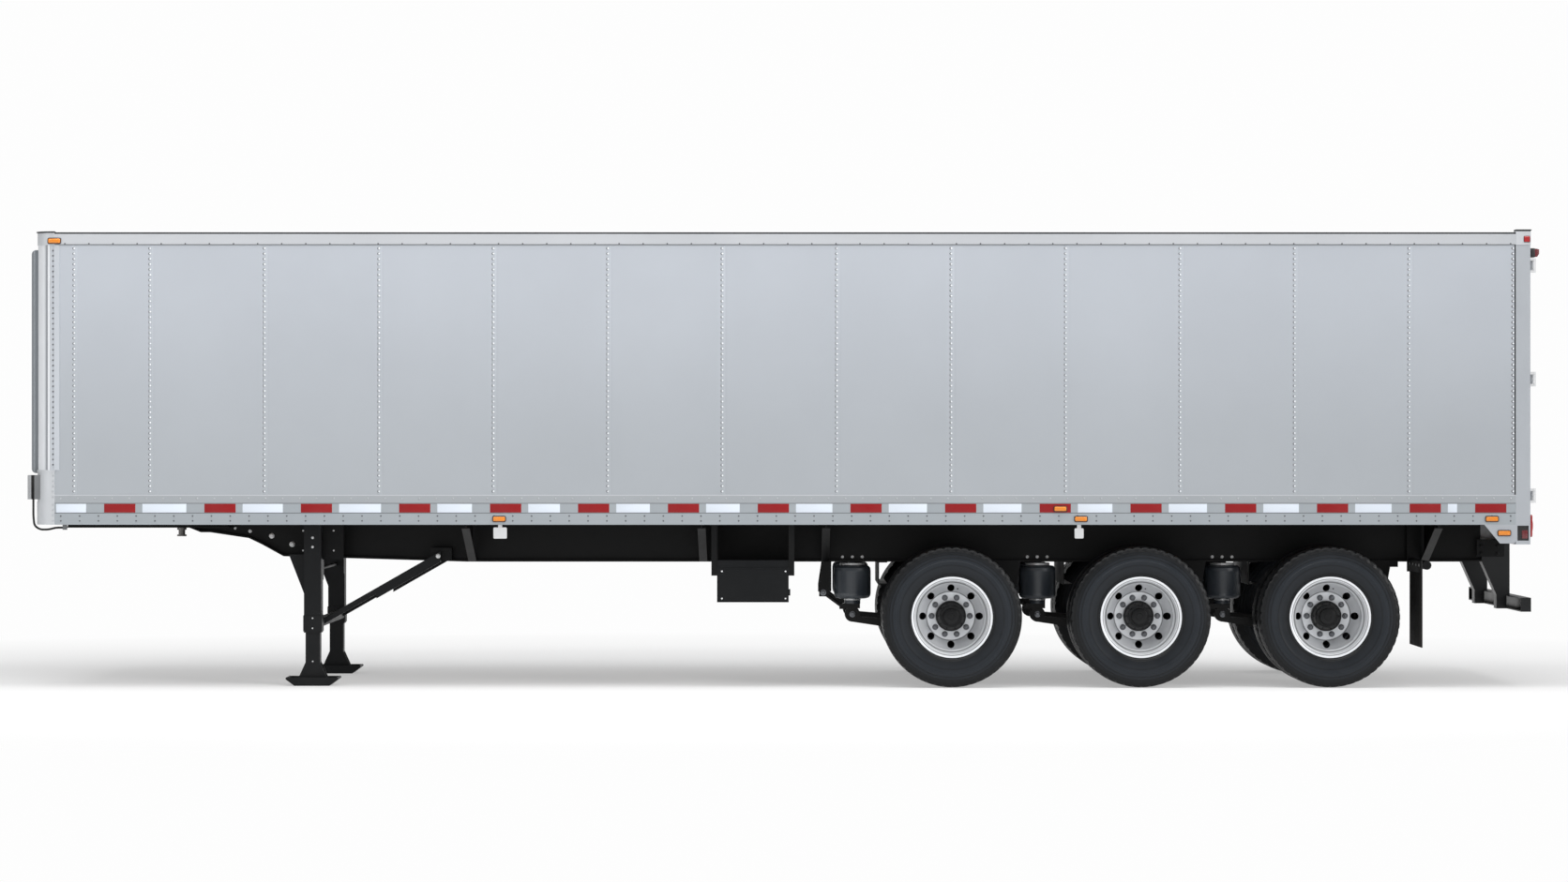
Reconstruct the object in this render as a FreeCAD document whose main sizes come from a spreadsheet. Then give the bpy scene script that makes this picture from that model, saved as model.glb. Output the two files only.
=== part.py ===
"""Closed-van semi trailer with three axles on twin wheels, parked on its landing legs.

The van's nose is towards -X, its rear doors towards +X, the driver's side (left) is -Y and
the ground is Z = 0.  All lengths are millimetres.  Pieces that come in left and right are
drawn on the +Y side and mirrored in the XZ plane.
"""
import FreeCAD, Part
import math
import os
import re
import Sketcher

Vector = FreeCAD.Vector
doc = FreeCAD.newDocument("semi_trailer")

# ---------------------------------------------------------------- driving sizes
# name, value (millimetres, degrees or a count), what it is
SIZES = [
    ("van_length", 11102, "nose to rear face of the van body"),
    ("van_width", 2590, "outside width over the rails"),
    ("front_standout", 60, "connection box in front of the nose"),
    ("rear_standout", 70, "rear lamp brackets behind the rear face"),
    ("body_bottom", 1214, "underside of the bottom rails above the ground"),
    ("rail_top", 3386, "top of the top rails above the ground"),
    ("bottom_rail_height", 222, "bottom rail, all of its outer face"),
    ("rail_lap", 62, "flange of the bottom rail that laps the wall"),
    ("tape_face", 73, "recessed strip of the bottom rail under its lap flange"),
    ("tape_recess", 2, "depth of that strip"),
    ("top_rail_height", 94, "top rail, all of its outer face"),
    ("rail_wall", 5, "thickness of the rail extrusions"),
    ("rail_shelf", 8, "shelf of the bottom rail under the wall"),
    ("rail_base", 6, "lower flange of the bottom rail under the crossmembers"),
    ("top_flange", 8, "flange of the top rail over the wall"),
    ("flange_reach", 60, "width of the top and lower rail flanges"),
    ("wall_thickness", 45, "side and front walls with their lining"),
    ("corner_radius", 150, "round front corners"),
    ("corner_strip", 35, "riveted strip behind each front corner post"),
    ("casting_height", 406, "lower casting of the front corners"),
    ("casting_foot", 170, "thicker foot of the lower casting"),
    ("casting_bead", 14, "beads round the head of the lower casting"),
    ("casting_step", 4, "beads and foot proud of the casting"),
    ("cap_thick", 7, "lids on the front corners and the rear posts"),
    ("cap_over", 8, "lids past the face below them"),
    ("roof_thickness", 8, "roof sheet with its lining"),
    ("bow_depth", 25, "roof bows"),
    ("bow_width", 60, "roof bows"),
    ("bow_pitch", 610, "roof bows"),
    ("floor_top", 1330, "load floor above the ground"),
    ("floor_thickness", 28, "hardwood floor"),
    ("beam_width", 60, "flanges of the crossmembers"),
    ("beam_flange", 6, "flange thickness of the crossmembers"),
    ("beam_web", 5, "web thickness of the crossmembers"),
    ("beam_pitch", 406, "spacing of the crossmembers"),
    ("beam_inset", 20, "first crossmember behind the round corners"),
    ("fairing_side", 195, "raised panel inside the van's width on each side"),
    ("fairing_depth", 65, "raised panel on the nose"),
    ("fairing_bottom", 1596, "raised panel above the ground"),
    ("fairing_drop", 124, "raised panel under the top of the rails"),
    ("fairing_round", 40, "rounded edges of the raised panel"),
    # rear frame and doors
    ("rear_post_depth", 108, "rear corner posts along the van"),
    ("rear_post_width", 90, "rear corner posts across the van"),
    ("rear_frame_bottom", 1068, "foot of the rear posts above the ground"),
    ("post_rise", 21, "lids of the rear posts above the top rails"),
    ("header_height", 106, "door header"),
    ("sill_plate", 8, "plate of the rear sill channel"),
    ("post_head", 107, "head of the rear posts"),
    ("post_step", 3, "head of the rear posts proud of the posts"),
    ("pocket_low", 1096, "lamp pockets of the rear posts above the ground"),
    ("pocket_high", 1207, "top of the lamp pockets above the ground"),
    ("pocket_depth", 10, "lamp pockets in the rear posts"),
    ("pocket_rim", 12, "rim round the lamp pockets"),
    ("gusset_run", 233, "gusset plates in front of the rear posts"),
    ("gusset_flat", 12, "lower edge of the gusset plates from the posts"),
    ("gusset_low", 1075, "lower edge of the gusset plates above the ground"),
    ("gusset_thick", 8, "gusset plates"),
    ("door_thickness", 40, "rear doors"),
    ("door_gap", 6, "gap round the doors"),
    ("door_inset", 2, "door face in front of the rear face"),
    ("hinge_back", 30, "hinge pin behind the rear face"),
    ("hinge_in", 12, "hinge pin inside the van's width"),
    ("hinge_boss", 12, "radius of the hinge knuckles"),
    ("hinge_pin", 8, "radius of the hinge pins"),
    ("running_gap", 0.3, "radial gap of hinge pins, hubs and drums"),
    ("hinge_strap", 70, "height of the hinge straps"),
    ("hinge_lug", 18, "height of the lugs above and below a strap"),
    ("lug_gap", 1, "end gap between strap and lugs"),
    ("strap_reach", 230, "length of the strap leaf on the door"),
    ("strap_leaf", 15, "strap leaf proud of the door"),
    ("strap_thick", 8, "strap between the leaf and the pin"),
    ("lock_rod_radius", 14, "door lock rods"),
    ("lock_rod_off", 22, "centre of the lock rods behind the door face"),
    ("lock_guide", 60, "width and height of the lock rod guides"),
    ("cam_height", 46, "cams on the ends of the lock rods"),
    ("cam_width", 60, "cams on the ends of the lock rods"),
    ("keeper_gap", 5, "keepers beside the cams"),
    ("keeper_lug", 8, "lugs of the keepers"),
    ("keeper_height", 30, "lugs of the keepers"),
    ("lock_handle_length", 420, "lock rod handles"),
    # chassis
    ("frame_inset", 775, "web of each frame rail inside the van's side"),
    ("frame_flange", 125, "width of the frame rail flanges"),
    ("frame_flange_thick", 12, "thickness of the frame rail flanges"),
    ("frame_web", 8, "web of the frame rails"),
    ("frame_bottom", 920, "underside of the frame rails above the ground"),
    ("frame_end", 246, "rear end of the frame rails in front of the rear face"),
    ("channel_height", 230, "cross channels between the frame rails"),
    ("neck_front", 975, "front end of the frame rails behind the nose"),
    ("neck_length", 2181, "gooseneck of the frame rails along the van"),
    ("coupler_front", 186, "front of the coupler plate behind the nose"),
    ("coupler_length", 1210, "coupler plate"),
    ("coupler_side", 345, "coupler plate inside the van's width on each side"),
    ("rib_edge", 50, "outer ribs from the edge of the coupler plate"),
    ("rib_in", 190, "inner ribs from the frame rails"),
    ("coupler_plate", 10, "thickness of the coupler plate"),
    ("coupler_bottom", 1185, "coupling face above the ground"),
    ("coupler_rib", 40, "width of the ribs over the coupler plate"),
    ("kingpin_setback", 914, "kingpin behind the nose"),
    ("kingpin_radius", 25.4, "locking neck of the kingpin"),
    ("kingpin_neck", 36, "length of the locking neck"),
    ("kingpin_shoulder", 36.5, "radius of the kingpin shoulder and head"),
    ("kingpin_shoulder_length", 35, "kingpin shoulder under the plate"),
    ("kingpin_head_length", 13, "kingpin head"),
    # landing gear
    ("leg_setback", 2024, "landing legs behind the nose"),
    ("leg_inset", 435, "landing legs inside the van's side"),
    ("leg_tube", 130, "square outer tube of a leg"),
    ("leg_inner", 108, "square inner tube of a leg"),
    ("leg_gap", 0.5, "slide gap between the tubes"),
    ("leg_inner_wall", 10, "wall of the inner tube"),
    ("leg_tube_bottom", 396, "lower end of the outer tube above the ground"),
    ("leg_overlap", 300, "inner tube inside the outer tube"),
    ("shoe_length", 390, "landing shoe along the van"),
    ("shoe_width", 250, "landing shoe across the van"),
    ("shoe_plate", 12, "plate of the landing shoe"),
    ("shoe_height", 60, "turned-up ends of the landing shoe"),
    ("shoe_neck", 174, "top of the shoe gussets above the ground"),
    ("leg_plate", 12, "mounting plates of the legs"),
    ("brace_in", 160, "diagonal braces inboard of the legs"),
    ("brace_width", 60, "diagonal braces across the van"),
    ("brace_run", 880, "diagonal braces along the van"),
    ("brace_low", 500, "lower end of the braces above the ground"),
    ("brace_high", 1003, "upper end of the braces above the ground"),
    ("brace_depth", 80, "upper channel of the braces"),
    ("brace_thin", 46, "lower bar of the braces"),
    ("brace_step", 0.45, "share of a brace's run that is the thin bar"),
    ("cross_tube", 60, "square cross tube between the legs"),
    ("shaft_radius", 14, "cross shaft between the legs"),
    ("shaft_z", 864, "cross shaft above the ground"),
    ("gearbox", 150, "height and length of the leg gearboxes"),
    ("collar_height", 120, "collar at the foot of each outer tube"),
    ("collar_thick", 5, "collar proud of the outer tube"),
    ("wing_top", 982, "wing plates in front of the legs above the ground"),
    ("wing_low", 673, "foot of the wing plates above the ground"),
    ("wing_run", 120, "wing plates along the van"),
    ("plate_ahead", 50, "mounting plates in front of the legs' middle"),
    ("plate_length", 270, "mounting plates of the legs along the van"),
    ("crank_radius", 11, "crank shaft and handle"),
    ("crank_throw", 210, "crank arm"),
    # running gear
    ("axle_ahead", 1480, "last axle in front of the rear face"),
    ("axle_pitch", 1405, "spacing of the three axles"),
    ("axle_z", 525, "axle centres above the ground"),
    ("axle_radius", 63.5, "axle tube"),
    ("spindle_radius", 45, "spindle inside the hub"),
    ("spindle_end", 110, "spindle past the hub flange"),
    ("shield_in", 240, "dust shield inboard of the wheel discs"),
    ("shield_thick", 12, "dust shield"),
    ("wheel_inset", 320, "plane between the two wheel discs inside the van's side"),
    ("rim_offset", 165, "disc plane from each rim's middle"),
    ("disc_thick", 12, "wheel disc"),
    ("pilot_radius", 110, "hub pilot in the wheel discs"),
    ("rim_radius", 286, "bead seat of the rims"),
    ("rim_flange", 302, "flange radius of the rims"),
    ("rim_half", 118, "half of the rim width over the flanges"),
    ("rim_thick", 11, "thickness of the rim"),
    ("hand_holes", 8, "hand holes in each wheel disc"),
    ("hand_hole_radius", 27, "hand holes"),
    ("hand_hole_circle", 212, "radius of the circle of hand holes"),
    ("tyre_radius", 525, "tyres"),
    ("tyre_width", 280, "tyre section"),
    ("tyre_tread", 240, "tread band"),
    ("tyre_facets", 40, "flat facets round each tyre"),
    ("drum_radius", 225, "brake drum"),
    ("drum_wall", 20, "brake drum"),
    ("hub_barrel", 80, "radius of the hub barrel inboard"),
    ("hub_flange_radius", 165, "hub flange"),
    ("spring_ahead", 730, "air springs in front of their axle"),
    ("spring_foot", 61, "radius of the pedestals under the air springs"),
    ("spring_plate", 92, "radius of the bead plates on the air springs"),
    ("bead_plate", 18, "thickness of the bead plates"),
    ("spring_rise", 40, "pedestals under the air springs"),
    ("link_radius", 20, "levelling links"),
    ("link_ahead", 222, "upper pins of the levelling links in front of the air springs"),
    ("link_pin_z", 686, "upper pins of the levelling links above the ground"),
    ("damper_behind", 150, "shock absorbers behind their axle"),
    ("stay_width", 62, "stay plates in front of the air springs"),
    ("stay_low", 700, "foot of the stay plates above the ground"),
    ("damper_radius", 34, "shock absorbers"),
    ("spring_radius", 140, "air springs"),
    ("arm_seat", 600, "spring seat of the arms above the ground"),
    ("arm_eye_z", 521, "front eye of the arms above the ground"),
    ("arm_eye", 58, "radius of the front eye"),
    ("arm_width", 90, "suspension arms across the van"),
    ("pivot_behind", 420, "arm pivot behind its axle"),
    ("pivot_z", 500, "arm pivot above the ground"),
    ("pivot_boss", 50, "radius of the arm pivot boss"),
    ("hanger_plate", 12, "plates of the hangers"),
    ("chamber_radius", 82, "brake chambers"),
    ("chamber_length", 190, "brake chambers"),
    ("tank_radius", 120, "air tanks"),
    ("tank_gap", 140, "ends of the air tanks from the frame rails"),
    ("tank_drop", 20, "air tanks under the crossmembers"),
    # mud flaps, guard, lamps, boxes
    ("flap_ahead", 806, "mud flaps in front of the rear face"),
    ("flap_width", 610, "mud flaps"),
    ("flap_thick", 8, "mud flaps"),
    ("flap_arm", 33, "radius of the tubes that carry the mud flaps"),
    ("flap_clamp", 90, "height of the clamp plates on the mud flaps"),
    ("flap_bottom", 300, "lower edge of the mud flaps above the ground"),
    ("flap_top", 945, "upper edge of the mud flaps above the ground"),
    ("guard_bar", 76, "guard bar along the van"),
    ("guard_height", 104, "guard bar"),
    ("guard_bottom", 565, "guard bar above the ground"),
    ("guard_side", 75, "guard bar inside the van's width on each side"),
    ("guard_sheet", 8, "sheet of the guard bar and its posts"),
    ("guard_out", 18, "guard bar behind the rear face"),
    ("guard_lap", 24, "back of the posts over the guard bar"),
    ("box_length", 533, "toolbox along the van"),
    ("box_ahead", 1747, "front of the toolbox in front of the first axle"),
    ("box_bottom", 636, "toolbox above the ground"),
    ("box_top", 894, "toolbox above the ground"),
    ("box_depth", 470, "toolbox across the van"),
    ("box_in", 60, "toolbox face inside the van's width"),
    ("box_strap", 42, "toolbox hanger bars along the van"),
    ("box_strap_low", 834, "foot of the toolbox hanger bars above the ground"),
    ("box_face", 4, "toolbox door proud of its case"),
    ("box_rim", 12, "rim of the case round the toolbox door"),
    ("latch_low", 686, "foot of the toolbox latch above the ground"),
    ("socket_width", 150, "connection box across the van"),
    ("socket_wrap", 53, "connection box behind the nose, round the corner"),
    ("socket_out", 95, "connection box outside the flat of the nose"),
    ("socket_bottom", 1402, "connection box above the ground"),
    ("socket_top", 1582, "connection box above the ground"),
    ("cable_radius", 8, "cable from the connection box"),
    ("lamp_thick", 20, "side lamps proud of what carries them"),
    ("lamp_length", 88, "side lamps"),
    ("lamp_height", 38, "side lamps"),
    ("small_lamp_length", 80, "lamps among the tape"),
    ("small_lamp_height", 26, "lamps among the tape"),
    ("tail_lamp_width", 250, "tail lamps"),
    ("tail_lamp_height", 173, "tail lamps"),
    ("tail_lamp_low", 49, "tail lamps above the foot of the rear frame"),
    ("tail_lamp_gap", 10, "tail lamps from the rear posts"),
    ("tail_lamp_thick", 35, "tail lamps proud of the sill"),
    ("clear_lamp_low", 186, "clearance lamps under the top of the rails"),
    ("clear_lamp_height", 68, "clearance lamps"),
    ("clear_lamp_width", 70, "clearance lamps"),
    ("clear_lamp_base", 28, "brackets of the clearance lamps"),
    ("head_lamp", 48, "red lamps on the sides of the post heads"),
    ("head_lamp_thick", 5, "lamps on the header and the post heads"),
    ("header_lamp_width", 90, "the three lamps on the header"),
    ("header_lamp_height", 28, "the three lamps on the header"),
    ("header_lamp_pitch", 160, "the three lamps on the header"),
]

# name, formula: where pieces meet, worked out from the sizes above
PLACES = [
    ("half_width", "van_width / 2"),
    ("nose_x", "(front_standout - van_length - rear_standout) / 2"),
    ("rear_x", "nose_x + van_length"),
    ("post_x", "rear_x - rear_post_depth"),
    ("side_x", "nose_x + corner_radius"),
    ("side_length", "post_x - side_x"),
    ("corner_y", "half_width - corner_radius"),
    ("wall_out", "half_width - rail_wall"),
    ("wall_in", "wall_out - wall_thickness"),
    ("wall_bottom", "body_bottom + bottom_rail_height - rail_lap"),
    ("wall_top", "rail_top - top_flange"),
    ("inside_x", "nose_x + rail_wall + wall_thickness"),
    ("floor_bottom", "floor_top - floor_thickness"),
    ("beam_bottom", "body_bottom + rail_base"),
    ("roof_bottom", "wall_top - roof_thickness"),
    ("casting_top", "body_bottom + casting_height"),
    ("top_rail_bottom", "rail_top - top_rail_height"),
    ("fairing_top", "rail_top - fairing_drop"),
    ("fairing_width", "van_width - 2 * fairing_side"),
    ("post_in", "half_width - rear_post_width"),
    ("header_bottom", "rail_top - header_height"),
    ("rear_frame_top", "rail_top + post_rise"),
    ("door_out_x", "rear_x - door_inset"),
    ("door_in_x", "door_out_x - door_thickness"),
    ("door_bottom", "floor_top + door_gap"),
    ("door_top", "header_bottom - door_gap"),
    ("hinge_x", "rear_x + hinge_back"),
    ("hinge_y", "half_width - hinge_in"),
    ("first_beam", "side_x + beam_inset"),
    ("leg_x", "nose_x + leg_setback"),
    ("leg_y", "half_width - leg_inset"),
    ("brace_y", "leg_y - brace_in"),
    ("kingpin_x", "nose_x + kingpin_setback"),
    ("frame_y", "half_width - frame_inset"),
    ("flange_out", "frame_y + frame_flange / 2"),
    ("flange_in", "frame_y - frame_flange / 2"),
    ("frame_end_x", "rear_x - frame_end"),
    ("coupler_x", "nose_x + coupler_front"),
    ("coupler_top", "coupler_bottom + coupler_plate"),
    ("coupler_width", "van_width - 2 * coupler_side"),
    ("tank_length", "2 * (frame_y - tank_gap)"),
    ("guard_width", "van_width - 2 * guard_side"),
    ("guard_x", "rear_x + guard_out - guard_bar"),
    ("flap_x", "rear_x - flap_ahead"),
    ("last_axle", "rear_x - axle_ahead"),
    ("first_axle", "last_axle - 2 * axle_pitch"),
    ("wheel_mid", "half_width - wheel_inset"),
    ("flap_edge", "wheel_mid + flap_width / 2"),
    ("shield_y", "wheel_mid - shield_in"),
    ("hub_face", "wheel_mid - disc_thick"),
    ("outer_rim_y", "wheel_mid + rim_offset"),
    ("inner_rim_y", "wheel_mid - rim_offset"),
    ("box_x", "first_axle - box_ahead"),
    ("box_y", "half_width - box_in - box_depth"),
]

SIZE_NAMES = {name for name, value, note in SIZES}
PLACE_NAMES = {name for name, formula in PLACES}


def bind(text):
    """Write the sheet's name in front of each size in a formula."""
    def whole(match):
        word = match.group(0)
        if word in SIZE_NAMES:
            return "sizes." + word
        if word in PLACE_NAMES:
            return "places." + word
        return word
    return re.sub(r"[a-z_][a-z_0-9]*", whole, str(text))


sizes = doc.addObject("Spreadsheet::Sheet", "sizes")
for row, (name, value, note) in enumerate(SIZES, start=1):
    sizes.set(f"A{row}", note)
    sizes.set(f"B{row}", str(value))
    sizes.setAlias(f"B{row}", name)
places = doc.addObject("Spreadsheet::Sheet", "places")
for row, (name, formula) in enumerate(PLACES, start=1):
    places.set(f"B{row}", "=" + bind(formula))
    places.setAlias(f"B{row}", name)
doc.recompute()

NODES = []

AXLES = [0, 1, 2]
LEG_BACK = "(leg_x + leg_tube / 2)"


def axle_x(i):
    """Place of an axle, counted from the front."""
    return f"(first_axle + {i} * axle_pitch)"


def number(text):
    """The value of a formula of sizes."""
    return float(sizes.evalExpression(bind(text)))


# ---------------------------------------------------------------- ways of making solids
TURNS = {
    "X": FreeCAD.Rotation(Vector(0, 1, 0), 90),
    "Y": FreeCAD.Rotation(Vector(1, 0, 0), -90),
    "Z": FreeCAD.Rotation(),
}
# plane: origin plane, whether the pad is reversed, the axis it runs along
PLANES = {
    "XY": ("XY_Plane", False, "z"),
    "XZ": ("XZ_Plane", True, "y"),
    "YZ": ("YZ_Plane", False, "x"),
}


def seat(piece, **where):
    """Bind a piece's place, axis by axis."""
    for axis, formula in where.items():
        piece.setExpression(".Placement.Base." + axis, bind(formula))
    return piece


def block(name, x, y, z):
    """A bar along the axes; x, y and z are each (low side, size)."""
    bar = doc.addObject("Part::Box", name)
    for side, (start, size) in zip(("Length", "Width", "Height"), (x, y, z)):
        bar.setExpression(side, bind(size))
    return seat(bar, x=x[0], y=y[0], z=z[0])


def rod(name, axis, start, radius, length):
    """A round bar along one axis from its start point."""
    bar = doc.addObject("Part::Cylinder", name)
    bar.Placement.Rotation = TURNS[axis]
    bar.setExpression("Radius", bind(radius))
    bar.setExpression("Height", bind(length))
    return seat(bar, x=start[0], y=start[1], z=start[2])


def origin_part(body, role):
    """One of a body's own origin planes or axes."""
    return [part for part in body.Origin.OriginFeatures if part.Role == role][0]


def outline_sketch(body, plane, outline):
    """A closed outline of straight lines, each corner bound to the sizes."""
    sketch = body.newObject("Sketcher::SketchObject", body.Name + "_outline")
    sketch.AttachmentSupport = (origin_part(body, plane), [""])
    sketch.MapMode = "FlatFace"
    corners = [Vector(number(u), number(v), 0) for u, v in outline]
    count = len(corners)
    for i in range(count):
        sketch.addGeometry(Part.LineSegment(corners[i], corners[(i + 1) % count]), False)
    for i, (u, v) in enumerate(outline):
        sketch.addConstraint(Sketcher.Constraint("Coincident", i, 2, (i + 1) % count, 1))
        for kind, formula, value in (("DistanceX", u, corners[i].x), ("DistanceY", v, corners[i].y)):
            index = sketch.addConstraint(Sketcher.Constraint(kind, -1, 1, i, 1, value))
            sketch.setExpression(f"Constraints[{index}]", bind(formula))
    return sketch


def prism(name, plane, outline, start, depth):
    """An outline in one plane, padded from its start to its depth along the third axis."""
    body = doc.addObject("PartDesign::Body", name)
    origin_plane, flipped, axis = PLANES[plane]
    sketch = outline_sketch(body, origin_plane, outline)
    pad = body.newObject("PartDesign::Pad", name + "_pad")
    pad.Profile = sketch
    pad.Reversed = flipped
    pad.setExpression("Length", bind(depth))
    body.Tip = pad
    return seat(body, **{axis: start})


def lathe(name, axis, profile):
    """A profile of (along the axis, radius) turned about that axis through the origin."""
    body = doc.addObject("PartDesign::Body", name)
    if axis == "Z":
        sketch = outline_sketch(body, "XZ_Plane", [(radius, along) for along, radius in profile])
        line = "V_Axis"
    elif axis == "Y":
        sketch = outline_sketch(body, "YZ_Plane", profile)
        line = "H_Axis"
    else:
        sketch = outline_sketch(body, "XZ_Plane", profile)
        line = "H_Axis"
    turn = body.newObject("PartDesign::Revolution", name + "_turn")
    turn.Profile = sketch
    turn.ReferenceAxis = (sketch, [line])
    turn.Angle = 360
    body.Tip = turn
    return body


def row(body, axis, length, count):
    """Repeat a body's last feature in a row."""
    pattern = body.newObject("PartDesign::LinearPattern", body.Name + "_row")
    pattern.Originals = [body.Tip]
    pattern.Direction = (origin_part(body, axis + "_Axis"), [""])
    pattern.setExpression("Length", bind(length))
    pattern.setExpression("Occurrences", bind(count))
    body.Tip = pattern
    return body


def rounded(body, radius, pick):
    """Fillet the edges of a body's last feature that `pick` chooses by their box."""
    doc.recompute()
    base = body.Tip
    names = [f"Edge{i}" for i, edge in enumerate(base.Shape.Edges, start=1) if pick(edge.BoundBox)]
    fillet = body.newObject("PartDesign::Fillet", body.Name + "_round")
    fillet.Base = (base, names)
    fillet.setExpression("Radius", bind(radius))
    body.Tip = fillet
    return body


def fused(name, pieces):
    """One solid of pieces that overlap or share a face."""
    whole = doc.addObject("Part::MultiFuse", name)
    whole.Shapes = pieces
    whole.Refine = True
    return whole


def cut(name, base, tool):
    """A piece with a tool taken away."""
    rest = doc.addObject("Part::Cut", name)
    rest.Base = base
    rest.Tool = tool
    return rest


def several(name, pieces):
    """Like pieces kept as separate solids."""
    group = doc.addObject("Part::Compound", name)
    group.Links = pieces
    return group


def mirrored(name, piece):
    """The same piece on the other side of the van."""
    twin = doc.addObject("Part::Mirroring", name)
    twin.Source = piece
    twin.Normal = Vector(0, 1, 0)
    return twin


def pair(name, piece):
    """A piece and its twin on the other side."""
    return several(name, [piece, mirrored(name + "_twin", piece)])


def node(piece, label):
    """Name a finished sub-part."""
    piece.Label = label
    NODES.append((label, piece))
    return piece


# ---------------------------------------------------------------- van body
CORNER_INSIDE = "corner_radius - rail_wall - wall_thickness"


def quarter(name, outer, bottom, height, inner=CORNER_INSIDE):
    """A quarter tube about the axis of the right front corner."""
    round_bar = doc.addObject("Part::Cylinder", name + "_outer")
    core = doc.addObject("Part::Cylinder", name + "_core")
    for bar, radius in ((round_bar, outer), (core, inner)):
        bar.Angle = 90
        bar.Placement.Rotation = FreeCAD.Rotation(Vector(0, 0, 1), 90)
        bar.setExpression("Radius", bind(radius))
        bar.setExpression("Height", bind(height))
        seat(bar, x="side_x", y="corner_y", z=bottom)
    return cut(name, round_bar, core)


def corner_posts():
    """Main corner extrusions with the flat riveted strip that laps the side wall."""
    height = "top_rail_bottom - casting_top"
    ring = quarter("corner_ring", "corner_radius - rail_wall", "casting_top", height)
    end = block("corner_end", ("side_x - rail_wall", "rail_wall"),
                ("wall_in", "half_width - wall_in"), ("casting_top", height))
    strip = block("corner_flat", ("side_x", "corner_strip"),
                  ("wall_out", "rail_wall"), ("casting_top", height))
    node(pair("corner_posts", fused("corner_post", [ring, end, strip])), "corner_posts")


def corner_castings():
    """Castings round the foot and the head of the corner posts: beads, thick foot and lid."""
    low = fused("corner_low", [
        quarter("corner_cup", "corner_radius", "body_bottom", "casting_height"),
        quarter("corner_foot", "corner_radius + casting_step", "body_bottom", "casting_foot",
                "corner_radius"),
        quarter("corner_bead", "corner_radius + casting_step", "casting_top - casting_bead",
                "casting_bead", "corner_radius"),
    ])
    high = fused("corner_high", [
        quarter("corner_head", "corner_radius", "top_rail_bottom", "top_rail_height"),
        quarter("corner_lid", "corner_radius + cap_over", "rail_top", "cap_thick"),
    ])
    node(pair("corner_castings", several("corner_ends", [low, high])), "corner_castings")


def front_wall():
    """Flat front wall between the round corners, with a raised panel on it."""
    wall = block("front_panel", ("nose_x + rail_wall", "wall_thickness"),
                 ("-corner_y", "2 * corner_y"), ("wall_bottom", "wall_top - wall_bottom"))
    node(wall, "front_wall")
    raised = prism("nose_fairing", "YZ", [
        ("-fairing_width / 2", "fairing_bottom"),
        ("fairing_width / 2", "fairing_bottom"),
        ("fairing_width / 2", "fairing_top"),
        ("-fairing_width / 2", "fairing_top"),
    ], "nose_x + rail_wall - fairing_depth", "fairing_depth")
    rounded(raised, "fairing_round", lambda box: box.XMax < 1)
    node(raised, "nose_fairing")


def front_rails():
    """Rails across the nose under and over the front wall."""
    low = prism("front_low_rail", "XZ", [
        ("nose_x", "body_bottom"),
        ("inside_x", "body_bottom"),
        ("inside_x", "wall_bottom"),
        ("nose_x + rail_wall", "wall_bottom"),
        ("nose_x + rail_wall", "wall_bottom + rail_lap"),
        ("nose_x", "wall_bottom + rail_lap"),
    ], "-corner_y", "2 * corner_y")
    high = prism("front_high_rail", "XZ", [
        ("nose_x", "top_rail_bottom"),
        ("nose_x + rail_wall", "top_rail_bottom"),
        ("nose_x + rail_wall", "wall_top"),
        ("nose_x + flange_reach", "wall_top"),
        ("nose_x + flange_reach", "rail_top"),
        ("nose_x", "rail_top"),
    ], "-corner_y", "2 * corner_y")
    node(several("front_rails", [low, high]), "front_rails")


def side_walls():
    """Side walls, each one slab from the corner post to the rear post."""
    right = block("side_wall_right", ("side_x", "side_length"),
                  ("wall_in", "wall_thickness"), ("wall_bottom", "wall_top - wall_bottom"))
    node(right, "side_wall_right")
    node(mirrored("side_wall_left", right), "side_wall_left")


def bottom_rails():
    """Extruded side rails: lap flange, recessed tape strip, shelf for the wall, lower flange."""
    section = [
        ("wall_out - flange_reach + rail_wall", "body_bottom"),
        ("half_width", "body_bottom"),
        ("half_width", "wall_bottom - tape_face"),
        ("half_width - tape_recess", "wall_bottom - tape_face"),
        ("half_width - tape_recess", "wall_bottom"),
        ("half_width", "wall_bottom"),
        ("half_width", "wall_bottom + rail_lap"),
        ("wall_out", "wall_bottom + rail_lap"),
        ("wall_out", "wall_bottom"),
        ("wall_in - rail_wall", "wall_bottom"),
        ("wall_in - rail_wall", "floor_bottom"),
        ("wall_in", "floor_bottom"),
        ("wall_in", "wall_bottom - rail_shelf"),
        ("wall_out", "wall_bottom - rail_shelf"),
        ("wall_out", "beam_bottom"),
        ("wall_out - flange_reach + rail_wall", "beam_bottom"),
    ]
    node(pair("bottom_rails", prism("bottom_rail", "YZ", section, "side_x", "side_length")),
         "bottom_rails")


def top_rails():
    """Angle rails over the side walls, carrying the roof."""
    section = [
        ("half_width", "top_rail_bottom"),
        ("half_width", "rail_top"),
        ("half_width - flange_reach", "rail_top"),
        ("half_width - flange_reach", "wall_top"),
        ("wall_out", "wall_top"),
        ("wall_out", "top_rail_bottom"),
    ]
    node(pair("top_rails", prism("top_rail", "YZ", section, "side_x", "side_length")), "top_rails")


def round_nosed(name, edge, bottom, height):
    """A slab between the side walls whose front corners follow the corner posts."""
    slab = prism(name, "XY", [
        ("inside_x", f"-{edge}"),
        ("post_x", f"-{edge}"),
        ("post_x", edge),
        ("inside_x", edge),
    ], bottom, height)
    middle = number("(inside_x + post_x) / 2")
    return rounded(slab, CORNER_INSIDE,
                   lambda box: box.XMax < middle and box.ZLength > box.YLength)


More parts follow.
